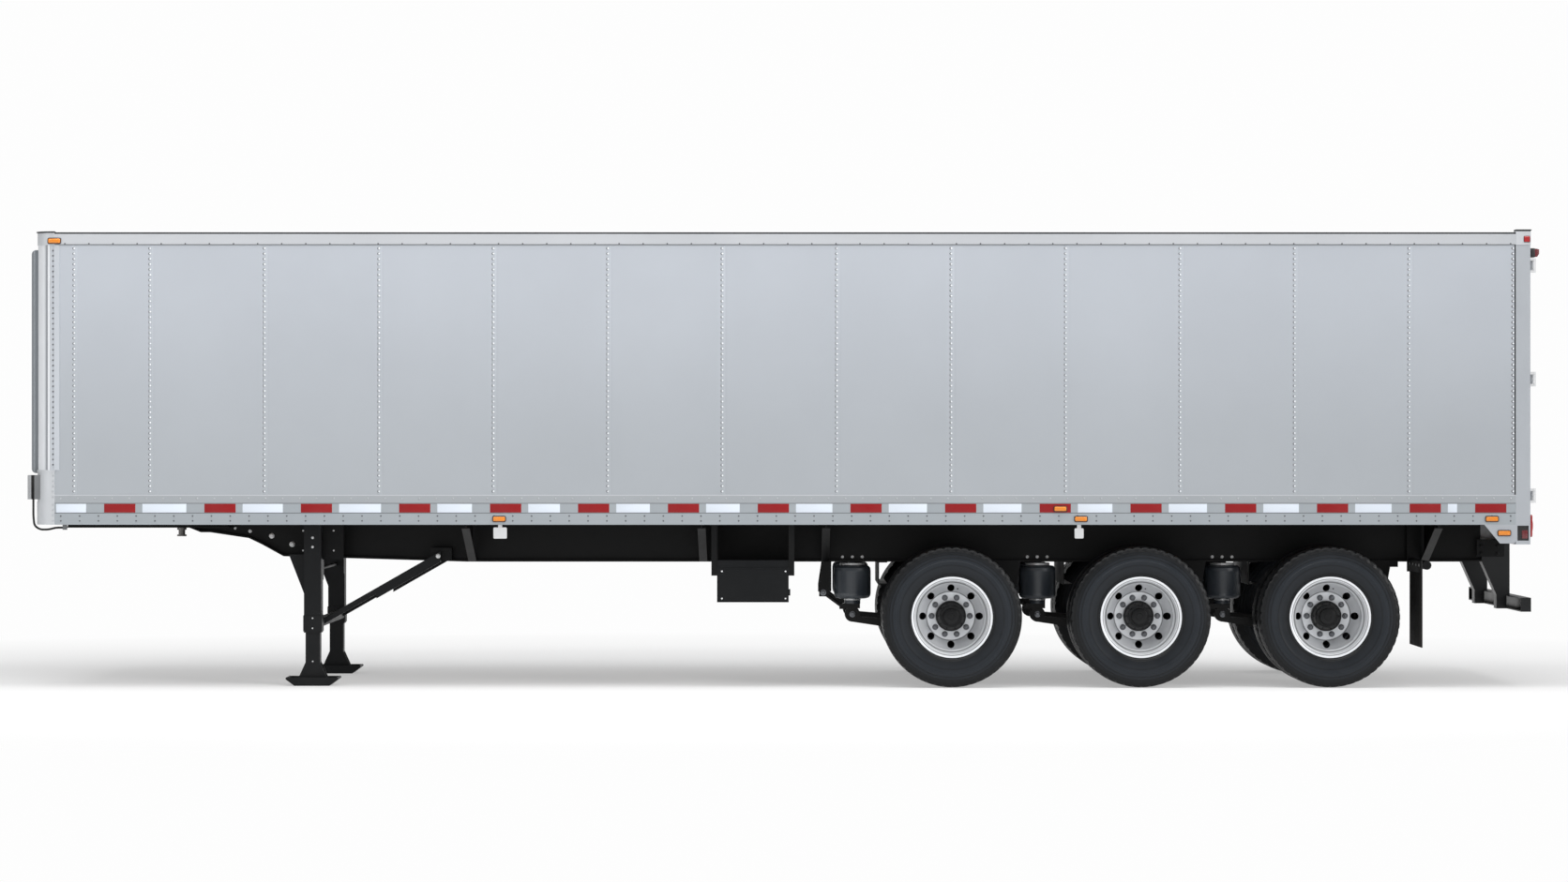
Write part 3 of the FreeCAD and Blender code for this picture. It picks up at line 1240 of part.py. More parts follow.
def air_springs():
    """Rolling-lobe bellows on a pedestal, with a bead plate and a stud under the frame rail."""
    bellows = "spring_rise"
    bead = "(frame_bottom - arm_seat - bead_plate - bead_plate / 2)"
    profile = [
        ("0", "0"),
        ("0", "spring_foot"),
        (bellows, "spring_foot"),
        (bellows, "spring_radius * 0.74"),
        (f"{bellows} + spring_radius * 0.05", "spring_radius * 0.9"),
        (f"{bellows} + spring_radius * 0.16", "spring_radius * 0.98"),
        (f"{bellows} + spring_radius * 0.3", "spring_radius"),
        (f"{bead} - spring_radius * 0.3", "spring_radius"),
        (f"{bead} - spring_radius * 0.14", "spring_radius * 0.97"),
        (f"{bead} - spring_radius * 0.04", "spring_radius * 0.88"),
        (bead, "spring_plate"),
        (f"{bead} + bead_plate", "spring_plate"),
        (f"{bead} + bead_plate", "spring_plate / 3"),
        ("frame_bottom - arm_seat", "spring_plate / 3"),
        ("frame_bottom - arm_seat", "0"),
    ]
    pieces = [seat(lathe(f"air_spring_{i + 1}", "Z", profile), x=f"{axle_x(i)} - spring_ahead",
                   y="frame_y", z="arm_seat") for i in AXLES]
    node(pair("air_springs", several("spring_row", pieces)), "air_springs")


def brake_chambers():
    """Brake chambers in front of each axle, on brackets from the axle tube."""
    pieces = []
    y = "(flange_in - chamber_radius - arm_width)"
    for i in AXLES:
        x = axle_x(i)
        can = lathe(f"chamber_{i + 1}_can", "X", [
            ("0", "0"),
            ("0", "chamber_radius * 0.6"),
            ("chamber_length * 0.12", "chamber_radius * 0.88"),
            ("chamber_length * 0.45", "chamber_radius * 0.88"),
            ("chamber_length * 0.45", "chamber_radius"),
            ("chamber_length * 0.55", "chamber_radius"),
            ("chamber_length * 0.55", "chamber_radius * 0.92"),
            ("chamber_length", "chamber_radius * 0.92"),
            ("chamber_length", "0"),
        ])
        front = f"({x} - 2 * axle_radius - chamber_length)"
        seat(can, x=front, y=y, z="axle_z + axle_radius")
        bracket = block(f"chamber_{i + 1}_bracket",
                        (f"{x} - 2 * axle_radius", "hanger_plate"),
                        (f"{y} - chamber_radius * 0.8", "chamber_radius * 1.6"),
                        ("axle_z - axle_radius / 2", "axle_radius * 2.4"))
        foot = block(f"chamber_{i + 1}_foot", (f"{x} - 2 * axle_radius", "2 * axle_radius"),
                     (f"{y} - hanger_plate", "2 * hanger_plate"),
                     ("axle_z - axle_radius / 2", "axle_radius"))
        tube = rod(f"chamber_{i + 1}_tube", "Y", (x, f"{y} - chamber_radius", "axle_z"),
                   "axle_radius + running_gap", "2 * chamber_radius")
        pieces.append(fused(f"chamber_{i + 1}", [can, bracket, cut(f"chamber_{i + 1}_arm", foot, tube)]))
    node(pair("brake_chambers", several("chamber_row", pieces)), "brake_chambers")


def facet_ring(name, profile, facets):
    """A ring of flat facets: a closed profile of (along Y, radius to the flats) carried round."""
    step = 2 * math.pi / facets
    reach = 1 / math.cos(step / 2)
    loops = []
    for i in range(facets):
        angle = (i + 0.5) * step
        loops.append([Vector(r * reach * math.sin(angle), y, r * reach * math.cos(angle))
                      for y, r in profile])
    faces = []
    for i, loop in enumerate(loops):
        after = loops[(i + 1) % facets]
        for j in range(len(profile)):
            k = (j + 1) % len(profile)
            corners = [loop[j], loop[k], after[k], after[j], loop[j]]
            faces.append(Part.Face(Part.makePolygon(corners)))
    solid = Part.Solid(Part.makeShell(faces))
    if solid.Volume < 0:
        solid.reverse()
    ring = doc.addObject("Part::Feature", name)
    ring.Shape = solid
    return ring


def tyre(name, middle):
    """A tyre: bead seats, sidewalls widest at mid-height, and the tread band."""
    bead = number("rim_half") - number("rim_thick") - number("lug_gap")
    seat_radius = number("rim_radius + running_gap")
    half = number("tyre_width / 2")
    tread = number("tyre_tread / 2")
    outer = number("tyre_radius")
    widest = seat_radius + (outer - seat_radius) * 0.5
    profile = [(-bead, seat_radius), (bead, seat_radius), (half, widest), (tread, outer),
               (-tread, outer), (-half, widest)]
    return seat(facet_ring(name, profile, int(number("tyre_facets"))), y=middle)


def rim(name, middle, turned):
    """A disc wheel in two pieces: barrel with flanges and drop centre, disc with hand holes."""
    sign = "-1" if turned else "1"
    well = "rim_radius * 0.9"
    bowl = f"({well} - rim_thick)"
    inner = "(rim_radius - rim_thick)"
    dish = "rim_radius * 0.63"
    disc = "-rim_offset"
    barrel_profile = [
        ("-rim_half * 0.85", bowl),
        ("-rim_half * 0.6", bowl),
        ("rim_half * 0.3", bowl),
        ("rim_half * 0.55", f"{inner} - rim_thick / 2"),
        ("rim_half - rim_thick", inner),
        ("rim_half - rim_thick / 2", "rim_flange - rim_thick"),
        ("rim_half", "rim_flange - rim_thick"),
        ("rim_half", "rim_flange"),
        ("rim_half - rim_thick / 2", "rim_flange"),
        ("rim_half - rim_thick", "rim_radius"),
        ("rim_half * 0.55", "rim_radius - rim_thick / 2"),
        ("rim_half * 0.35", well),
        ("-rim_half * 0.6", well),
        ("-rim_half * 0.8", "rim_radius - rim_thick / 2"),
        ("-rim_half + rim_thick", "rim_radius"),
        ("-rim_half + rim_thick / 2", "rim_flange"),
        ("-rim_half", "rim_flange"),
        ("-rim_half", inner),
    ]
    disc_profile = [
        (disc, "pilot_radius"),
        (f"{disc} + disc_thick", "pilot_radius"),
        (f"{disc} + disc_thick", dish),
        ("-rim_half * 0.6", bowl),
        ("-rim_half * 0.85", bowl),
        (disc, dish),
    ]
    barrel = lathe(name + "_barrel", "Y", [(f"{sign} * ({a})", r) for a, r in barrel_profile])
    plate = lathe(name + "_disc", "Y", [(f"{sign} * ({a})", r) for a, r in disc_profile])
    drill = doc.addObject("PartDesign::Body", name + "_drill")
    hole = outline_circle(drill, "XZ_Plane", "0", "hand_hole_circle", "hand_hole_radius")
    pad = drill.newObject("PartDesign::Pad", name + "_drill_pad")
    pad.Profile = hole
    pad.Midplane = True
    pad.setExpression("Length", bind("4 * rim_offset"))
    ring = drill.newObject("PartDesign::PolarPattern", name + "_drill_ring")
    ring.Originals = [pad]
    ring.Axis = (origin_part(drill, "Y_Axis"), [""])
    ring.Angle = 360
    ring.setExpression("Occurrences", bind("hand_holes"))
    drill.Tip = ring
    return [seat(barrel, y=middle), seat(cut(name + "_drilled", plate, drill), y=middle)]


def outline_circle(body, plane, u, v, radius):
    """A circle whose centre and radius are bound to the sizes."""
    sketch = body.newObject("Sketcher::SketchObject", body.Name + "_circle")
    sketch.AttachmentSupport = (origin_part(body, plane), [""])
    sketch.MapMode = "FlatFace"
    centre = Vector(number(u), number(v), 0)
    sketch.addGeometry(Part.Circle(centre, Vector(0, 0, 1), number(radius)), False)
    for kind, formula, value in (("DistanceX", u, centre.x), ("DistanceY", v, centre.y)):
        index = sketch.addConstraint(Sketcher.Constraint(kind, -1, 1, 0, 3, value))
        sketch.setExpression(f"Constraints[{index}]", bind(formula))
    index = sketch.addConstraint(Sketcher.Constraint("Radius", 0, number(radius)))
    sketch.setExpression(f"Constraints[{index}]", bind(radius))
    return sketch


def hub(name):
    """Hub with its flange, pilot and cap, and the brake drum behind the flange."""
    drum = "drum_radius - drum_wall"
    return lathe(name, "Y", [
        ("hub_face - spindle_end", "spindle_radius + running_gap"),
        ("hub_face - spindle_end", "hub_barrel"),
        ("hub_face - 2 * drum_wall", "hub_barrel"),
        ("hub_face - 2 * drum_wall", "hub_flange_radius"),
        ("hub_face - 4.5 * drum_wall", drum),
        ("shield_y + running_gap", drum),
        ("shield_y + running_gap", "drum_radius"),
        ("hub_face - 4 * drum_wall", "drum_radius"),
        ("hub_face - 1.5 * drum_wall", "drum_radius - 1.75 * drum_wall"),
        ("hub_face - drum_wall", "hub_flange_radius"),
        ("hub_face", "hub_flange_radius"),
        ("hub_face", "pilot_radius"),
        ("hub_face + spindle_end * 0.6", "pilot_radius"),
        ("hub_face + spindle_end * 0.7", "hub_barrel"),
        ("hub_face + spindle_end * 1.1", "hub_barrel"),
        ("hub_face + spindle_end * 1.15", "hub_barrel * 0.7"),
        ("hub_face + spindle_end * 1.35", "hub_barrel * 0.7"),
        ("hub_face + spindle_end * 1.35", "0"),
        ("hub_face + spindle_end + lug_gap", "0"),
        ("hub_face + spindle_end + lug_gap", "spindle_radius + running_gap"),
    ])


def wheels():
    """Twin wheels on each axle end: two tyres, two rims back to back and the hub with its drum."""
    for i in AXLES:
        x = axle_x(i)
        at = f"axle_{i + 1}"
        tyres = several(f"tyres_{at}_right", [
            tyre(f"tyre_{at}_inner", "inner_rim_y"), tyre(f"tyre_{at}_outer", "outer_rim_y")])
        rims = several(f"wheels_{at}_right", rim(f"rim_{at}_inner", "inner_rim_y", True)
                       + rim(f"rim_{at}_outer", "outer_rim_y", False) + [hub(f"hub_{at}")])
        for label, piece in (("tyres", tyres), ("wheels", rims)):
            seat(piece, x=x, z="axle_z")
            node(piece, f"{label}_{at}_right")
            node(mirrored(f"{label}_{at}_left", piece), f"{label}_{at}_left")


# ---------------------------------------------------------------- what hangs on the chassis
# crossmember that carries each air tank, counted from the front
TANK_BEAMS = [9, 10]


def air_tanks():
    """Air tanks across the van between the frame rails, each in two saddles under a crossmember."""
    tanks = []
    for i, beam in enumerate(TANK_BEAMS, start=1):
        x = f"(first_beam + {beam} * beam_pitch + beam_width / 2)"
        z = "(beam_bottom - tank_drop - tank_radius)"
        shell = lathe(f"tank_{i}_shell", "Y", [
            ("-tank_length / 2", "0"),
            ("-tank_length / 2", "tank_radius * 0.55"),
            ("-tank_length * 0.46", "tank_radius * 0.88"),
            ("-tank_length * 0.42", "tank_radius"),
            ("tank_length * 0.42", "tank_radius"),
            ("tank_length * 0.46", "tank_radius * 0.88"),
            ("tank_length / 2", "tank_radius * 0.55"),
            ("tank_length / 2", "0"),
        ])
        pieces = [seat(shell, x=x, z=z)]
        for side, sign in (("left", "-"), ("right", "")):
            pieces.append(block(f"tank_{i}_saddle_{side}", (f"{x} - beam_width / 2", "beam_width"),
                                (f"{sign}tank_length / 4 - beam_width / 2", "beam_width"),
                                (z, f"beam_bottom - {z}")))
        tanks.append(fused(f"tank_{i}", pieces))
    node(several("air_tanks", tanks), "air_tanks")


def mud_flaps():
    """Rubber flaps behind the last wheels, clamped to the tubes behind them."""
    flap = block("mud_flap", ("flap_x", "flap_thick"), ("wheel_mid - flap_width / 2", "flap_width"),
                 ("flap_bottom", "flap_top - flap_bottom"))
    node(pair("mud_flaps", flap), "mud_flaps")


def underride_guard():
    """Folded channel bar across the rear, and two folded posts down from frame and sill."""
    high = "(guard_bottom + guard_height)"
    back = "(guard_x + guard_bar)"
    bar = prism("guard_bar_channel", "XZ", [
        ("guard_x", "guard_bottom"),
        (back, "guard_bottom"),
        (back, high),
        ("guard_x", high),
        ("guard_x", f"{high} - guard_sheet"),
        (f"{back} - guard_sheet", f"{high} - guard_sheet"),
        (f"{back} - guard_sheet", "guard_bottom + guard_sheet"),
        ("guard_x", "guard_bottom + guard_sheet"),
    ], "-guard_width / 2", "guard_width")
    cap = block("guard_end_cap", ("guard_x", "guard_bar - guard_sheet"),
                ("guard_width / 2 - guard_sheet", "guard_sheet"),
                ("guard_bottom + guard_sheet", "guard_height - 2 * guard_sheet"))
    node(several("underride_bar", [bar, pair("guard_end_caps", cap)]), "underride_bar")
    front = "(guard_x - guard_bar)"
    outline = [
        ("guard_x", "guard_bottom"),
        ("guard_x", high),
        ("guard_x + guard_lap", high),
        ("guard_x + guard_lap", "rear_frame_bottom"),
        ("post_x", "rear_frame_bottom"),
        ("frame_end_x", "frame_bottom + guard_height"),
        ("frame_end_x", "frame_bottom"),
        (front, high),
        (front, "guard_bottom"),
    ]
    pieces = [prism(f"guard_post_{side}", "XZ", outline, place, "guard_sheet")
              for side, place in (("in", "flange_in"), ("out", "flange_out - guard_sheet"))]
    pieces.append(prism("guard_post_front", "XZ", [
        ("frame_end_x", "frame_bottom"),
        (front, high),
        (front, "guard_bottom"),
        (f"{front} + guard_sheet", "guard_bottom"),
        (f"{front} + guard_sheet", high),
        ("frame_end_x + guard_sheet", "frame_bottom"),
    ], "flange_in + guard_sheet", "frame_flange - 2 * guard_sheet"))
    node(pair("underride_posts", several("guard_post", pieces)), "underride_posts")


def toolbox():
    """Steel toolbox under the driver's side with its door and latch, hung in four bars."""
    face = "(-box_y - box_depth)"
    case = block("toolbox_case", ("box_x", "box_length"), (face, "box_depth"),
                 ("box_bottom", "box_top - box_bottom"))
    door = block("toolbox_door", ("box_x + box_rim", "box_length - 2 * box_rim"),
                 (f"{face} - box_face", "box_face"),
                 ("box_bottom + box_rim", "box_top - box_bottom - 2 * box_rim"))
    latch = block("toolbox_latch", ("box_x + box_length", "box_rim"), (face, "2 * box_rim"),
                  ("latch_low", "4 * box_rim"))
    node(several("toolbox", [case, door, latch]), "toolbox")
    bars = [block(f"box_bar_{end}_{depth}", (x, "box_strap"), (y, "box_strap"),
                  ("box_strap_low", "beam_bottom - box_strap_low"))
            for end, x in (("front", "box_x - box_strap"), ("rear", "box_x + box_length"))
            for depth, y in (("out", face), ("in", "-box_y - box_strap"))]
    node(several("toolbox_bars", bars), "toolbox_bars")


# route of the cable after the socket: distance behind the nose, height above the body's underside
CABLE = [(-30, 58), (-22, -10), (20, -38), (85, -38), (138, -24), (190, -24)]
CABLE_Y = "(-corner_y - socket_out + socket_width / 2)"


def connection_box():
    """Box for the couplings, folded round the left front corner, and the gland of its cable."""
    case = block("connection_case", ("nose_x - front_standout", "front_standout + socket_wrap"),
                 ("-corner_y - socket_out", "socket_width"),
                 ("socket_bottom", "socket_top - socket_bottom"))
    corner = rod("connection_corner", "Z", ("side_x", "-corner_y", "body_bottom"), "corner_radius",
                 "socket_top")
    nose = block("connection_nose", ("nose_x", "corner_radius"), ("-corner_y", "socket_width"),
                 ("body_bottom", "socket_top"))
    gland_x, gland_z = CABLE[-1]
    gland = block("cable_gland", (f"nose_x + {gland_x}", "beam_width / 2"),
                  (f"{CABLE_Y} - 2 * cable_radius", "4 * cable_radius"),
                  (f"body_bottom + {gland_z} - 2 * cable_radius",
                   f"beam_bottom - body_bottom - {gland_z} + 2 * cable_radius"))
    fitted = cut("connection_fitted", case, fused("connection_hollow", [corner, nose]))
    node(several("connection_box", [fitted, gland]), "connection_box")


def cable_spine(points, share=0.45):
    """Straight runs joined by arcs as large as the shorter of each two runs allows."""
    edges = []
    last = points[0]
    for before, corner, after in zip(points, points[1:], points[2:]):
        back = (before - corner).normalize()
        ahead = (after - corner).normalize()
        half_turn = (math.pi - back.getAngle(ahead)) / 2
        reach = share * min(before.distanceToPoint(corner), after.distanceToPoint(corner))
        radius = reach / math.tan(half_turn)
        centre_line = (back + ahead).normalize()
        middle = corner + centre_line * (radius / math.cos(half_turn) - radius)
        start = corner + back * reach
        end = corner + ahead * reach
        edges.append(Part.makeLine(last, start))
        edges.append(Part.Arc(start, middle, end).toShape())
        last = end
    edges.append(Part.makeLine(last, points[-1]))
    return Part.Wire(edges)


def connection_cable():
    """The lead from the connection box round the foot of the nose to its gland."""
    nose = number("nose_x")
    y = number(CABLE_Y)
    base = number("body_bottom")
    points = [Vector(nose + CABLE[0][0], y, number("socket_bottom"))]
    points += [Vector(nose + behind, y, base + height) for behind, height in CABLE]
    spine = cable_spine(points)
    start = Part.Circle(points[0], points[1] - points[0], number("cable_radius"))
    lead = doc.addObject("Part::Feature", "connection_cable")
    lead.Shape = spine.makePipeShell([Part.Wire(start.toShape())], True, False)
    print(f"cable {spine.Length:.0f} mm long")
    node(lead, "connection_cable")


# ---------------------------------------------------------------- lamps
# middle of each side lamp along the van and above the ground
SIDE_LAMPS = [
    ("side_x - 2", "rail_top - 64"),
    ("leg_x + 1425", "body_bottom + 43"),
    ("first_axle + 955", "body_bottom + 43"),
    ("rear_x - 285", "body_bottom + 43"),
    ("rear_x - 194", "body_bottom - 62"),
]
TAPE_LAMP = ("first_axle + 802", "body_bottom + 118")


def flat_lamp(name, x, z, length, height, face):
    """A marker lamp on a side face, given by its middle."""
    return block(name, (f"{x} - {length} / 2", length), (face, "lamp_thick"),
                 (f"{z} - {height} / 2", height))


def side_lamps():
    """Marker lamps on the rails, the gussets and among the tape."""
    lamps = [flat_lamp(f"side_lamp_{i}", x, z, "lamp_length", "lamp_height", "half_width")
             for i, (x, z) in enumerate(SIDE_LAMPS, start=1)]
    lamps.append(flat_lamp("tape_lamp", *TAPE_LAMP, "small_lamp_length", "small_lamp_height",
                           "half_width - tape_recess"))
    node(pair("side_lamps", several("lamp_row", lamps)), "side_lamps")


def rear_lamps():
    """Tail lamps on the sill, clearance lamps on the posts, lamps on header and post sides."""
    clear = (("post_in + tail_lamp_gap", "clear_lamp_width"),
             ("rail_top - clear_lamp_low", "clear_lamp_height"))
    header_z = ("header_bottom + header_height / 2 - header_lamp_height / 2", "header_lamp_height")
    lamps = [
        block("tail_lamp", ("rear_x", "tail_lamp_thick"),
              ("post_in - tail_lamp_gap - tail_lamp_width", "tail_lamp_width"),
              ("rear_frame_bottom + tail_lamp_low", "tail_lamp_height")),
        block("clear_lamp_foot", ("rear_x", "clear_lamp_base"), *clear),
        prism("clear_lamp_lens", "XZ", [
            ("rear_x + clear_lamp_base", clear[1][0]),
            ("rear_x + rear_standout", f"{clear[1][0]} + clear_lamp_height / 4"),
            ("rear_x + rear_standout", f"{clear[1][0]} + clear_lamp_height"),
            ("rear_x + clear_lamp_base", f"{clear[1][0]} + clear_lamp_height"),
        ], *clear[0]),
        block("head_side_lamp", ("rear_x - head_lamp - door_inset", "head_lamp"),
              ("half_width + post_step", "head_lamp_thick"),
              ("rear_frame_top - 2 * head_lamp", "head_lamp")),
        block("pocket_lamp", ("rear_x - pocket_rim - head_lamp", "head_lamp"),
              ("half_width - pocket_depth", "pocket_depth"),
              ("(pocket_low + pocket_high - head_lamp) / 2", "head_lamp")),
        block("header_lamp", ("rear_x", "head_lamp_thick"),
              ("header_lamp_pitch - header_lamp_width / 2", "header_lamp_width"), header_z),
    ]
    middle = block("header_lamp_middle", ("rear_x", "head_lamp_thick"),
                   ("-header_lamp_width / 2", "header_lamp_width"), header_z)
    node(several("rear_lamps", [pair("rear_lamp_pairs", several("rear_lamp_set", lamps)), middle]),
         "rear_lamps")


for build in (corner_posts, corner_castings, front_wall, front_rails, side_walls, bottom_rails,
              top_rails, roof, floor_and_beams, rear_posts, header_and_sill, hinge_brackets,
              door_panels, door_straps, lock_rods, frame_rails, outriggers, coupler, kingpin,
              landing_legs, landing_feet, leg_mounts, leg_braces, axles, hangers, suspension,
              air_springs, brake_chambers, wheels, air_tanks, mud_flaps, underride_guard, toolbox,
              connection_box, connection_cable, side_lamps, rear_lamps):
    build()
doc.recompute()

# ---------------------------------------------------------------- checks and files
for piece in doc.Objects:
    if "Invalid" in piece.State or "Error" in piece.State:
        raise RuntimeError(f"{piece.Name} did not build: {piece.State}")
os.makedirs("parts", exist_ok=True)
for label, piece in NODES:
    shape = piece.Shape
    if shape.isNull() or not shape.isValid() or not shape.Solids:
        raise RuntimeError(f"{label} has no valid solid")
    shape.exportStep(os.path.join("parts", label + ".step"))
print(f"{len(NODES)} sub-parts")
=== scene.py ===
"""Closed-van semi trailer on three twin-wheel axles: its finishes and small parts, in metres."""
from math import cos, pi, radians, sin, tau
import bmesh
import bpy
from mathutils import Matrix, Vector


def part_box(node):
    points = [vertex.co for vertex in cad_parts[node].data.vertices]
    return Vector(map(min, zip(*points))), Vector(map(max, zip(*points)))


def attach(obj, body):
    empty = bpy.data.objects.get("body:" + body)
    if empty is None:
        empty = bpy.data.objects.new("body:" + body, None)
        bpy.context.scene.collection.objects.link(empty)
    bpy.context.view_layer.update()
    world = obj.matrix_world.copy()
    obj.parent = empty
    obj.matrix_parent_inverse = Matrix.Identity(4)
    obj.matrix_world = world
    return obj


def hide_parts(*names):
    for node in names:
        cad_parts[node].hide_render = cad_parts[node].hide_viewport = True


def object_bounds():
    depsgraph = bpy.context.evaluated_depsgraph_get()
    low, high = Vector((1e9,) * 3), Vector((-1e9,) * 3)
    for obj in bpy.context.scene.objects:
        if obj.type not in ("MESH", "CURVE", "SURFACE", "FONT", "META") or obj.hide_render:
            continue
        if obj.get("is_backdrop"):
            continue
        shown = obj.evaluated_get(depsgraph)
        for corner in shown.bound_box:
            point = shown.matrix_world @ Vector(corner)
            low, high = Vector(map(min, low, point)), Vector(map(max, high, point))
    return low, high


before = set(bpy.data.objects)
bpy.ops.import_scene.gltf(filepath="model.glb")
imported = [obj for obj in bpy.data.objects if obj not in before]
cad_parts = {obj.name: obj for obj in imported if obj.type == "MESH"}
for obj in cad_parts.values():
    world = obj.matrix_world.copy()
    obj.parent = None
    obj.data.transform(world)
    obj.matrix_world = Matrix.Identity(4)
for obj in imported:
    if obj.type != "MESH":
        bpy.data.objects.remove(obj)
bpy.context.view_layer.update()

# ---- studio
# A long lens stands level on the driver's side, well back, so that the far legs and tyres show
# only a little past the near ones.
STAND_OFF, EYE_X, EYE_HEIGHT = 32.0, 0.007, 1.836
PAPER_WHITE = (0.985, 0.985, 0.985, 1)
scene = bpy.context.scene
RAIL_FACE = -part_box("bottom_rails")[0].y
lens = bpy.data.cameras.new("side_lens")
lens.lens = 99
lens.sensor_width = 36
lens.clip_end = 400


def show(name, data, place=(0, 0, 0), turn=(0, 0, 0)):
    """An object in the scene from its data."""
    made = bpy.data.objects.new(name, data)
    made.location, made.rotation_euler = place, turn
    scene.collection.objects.link(made)
    return made


def looking(direction):
    """The turn of a lamp that looks along a direction."""
    return Vector(direction).to_track_quat("-Z", "Y").to_euler()


def soft_lamp(name, place, aim, size, power):
    """A large soft panel lamp that faces a point."""
    lamp = bpy.data.lights.new(name, "AREA")
    lamp.shape = "RECTANGLE"
    lamp.size, lamp.size_y = size
    lamp.energy = power
    show(name, lamp, place, looking(Vector(aim) - Vector(place)))


def feed(tree, taker, inputs):
    """Fill a node's inputs, by name or number: each with a constant or from a socket."""
    for key, value in inputs.items():
        if isinstance(value, bpy.types.NodeSocket):
            tree.links.new(value, taker.inputs[key])
        else:
            taker.inputs[key].default_value = value


def node(tree, kind, inputs, **settings):
    """A new node with its settings and its inputs."""
    made = tree.nodes.new(kind)
    for name, value in settings.items():
        setattr(made, name, value)
    feed(tree, made, inputs)
    return made


def maths(tree, operation, *values):
    """The result of a sum over constants and sockets."""
    return node(tree, "ShaderNodeMath", dict(enumerate(values)), operation=operation).outputs[0]


def ranged(tree, value, low, high, to_low=0.0, to_high=1.0, way="LINEAR"):
    """A value carried from one range to another."""
    return node(tree, "ShaderNodeMapRange", {
        "Value": value, "From Min": low, "From Max": high, "To Min": to_low, "To Max": to_high},
        interpolation_type=way).outputs[0]


scene.camera = show("side_camera", lens, (EYE_X, -RAIL_FACE - STAND_OFF, EYE_HEIGHT),
                    (radians(90), 0, 0))
scene.view_settings.view_transform = "Standard"
soft_lamp("over_panel", (0, -3.0, 11.0), (0, 0, 1.5), (16, 8), 1250)
soft_lamp("nose_panel", (-15.0, -9.0, 3.0), (-5.4, -1.2, 2.3), (3, 5), 260)

# A broad, far lamp to the right rakes along the side, so that rivets and laps show.
rake = bpy.data.lights.new("rake", "SUN")
rake.energy = 1.15
rake.angle = radians(24)
show("rake", rake, turn=looking((-0.75, 0.55, -0.36)))

world = bpy.data.worlds.new("studio")
scene.world = world
world.use_nodes = True
sky = world.node_tree
back = sky.nodes["Background"]
feed(sky, back, {"Color": (1, 1, 1, 1), "Strength": 0.47})
bright = node(sky, "ShaderNodeBackground", {"Color": PAPER_WHITE})
seen = node(sky, "ShaderNodeMixShader", {
    "Fac": sky.nodes.new("ShaderNodeLightPath").outputs["Is Camera Ray"],
    1: back.outputs[0], 2: bright.outputs[0]})
feed(sky, sky.nodes["World Output"], {"Surface": seen.outputs[0]})

# The floor is pale paper: it takes the shadow near the trailer and fades to plain white far out.
ground = bpy.data.meshes.new("ground")
ground.from_pydata([(-150, -60, 0), (150, -60, 0), (150, 220, 0), (-150, 220, 0)], [],
                   [(0, 1, 2, 3)])
floor_piece = show("ground", ground)
paper = bpy.data.materials.new("studio_paper")
paper.use_nodes = True
base = paper.node_tree
base.nodes.remove(base.nodes["Principled BSDF"])
matte = node(base, "ShaderNodeBsdfDiffuse", {"Color": (0.91, 0.91, 0.91, 1)})
glow = node(base, "ShaderNodeEmission", {"Color": PAPER_WHITE})
spread = node(base, "ShaderNodeMapping", {
    "Vector": base.nodes.new("ShaderNodeTexCoord").outputs["Object"],
    "Scale": (1 / 9.5, 1 / 6.0, 1)})
reach = node(base, "ShaderNodeVectorMath", {0: spread.outputs[0]}, operation="LENGTH")
fade = ranged(base, reach.outputs["Value"], 0.75, 1.35, 0.38)
rays = base.nodes.new("ShaderNodeLightPath").outputs
looked = maths(base, "MAXIMUM", rays["Is Camera Ray"], rays["Is Glossy Ray"])
blended = node(base, "ShaderNodeMixShader", {
    "Fac": maths(base, "MULTIPLY", looked, fade), 1: matte.outputs[0], 2: glow.outputs[0]})
feed(base, base.nodes["Material Output"], {"Surface": blended.outputs[0]})
ground.materials.append(paper)
floor_piece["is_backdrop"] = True

# ---- chassis frame
# Welded steel I-rails with a gooseneck, outriggers, hangers and the coupler plate, all sprayed
# in one coat of black chassis paint that road film has dulled.


def own_place(tree):
    """Sockets of the object's own coordinates: the vector, and X, Y and Z by name."""
    spot = tree.nodes.new("ShaderNodeTexCoord").outputs["Object"]
    return spot, node(tree, "ShaderNodeSeparateXYZ", {0: spot}).outputs


def mixed(tree, share, first, second, blend="MIX"):
    """The second colour over the first one by a share."""
    return node(tree, "ShaderNodeMix", {"Factor": share, "A": first, "B": second},
                data_type="RGBA", blend_type=blend).outputs["Result"]


def group_of(name, kind, inputs, outputs):
    """A node group with its inputs and outputs: names by kind of socket."""
    group = bpy.data.node_groups.new(name, kind)
    for way, sockets in (("INPUT", inputs), ("OUTPUT", outputs)):
        for made_of, labels in sockets.items():
            for label in labels:
                group.interface.new_socket(name=label, in_out=way,
                                           socket_type="NodeSocket" + made_of)
    return group


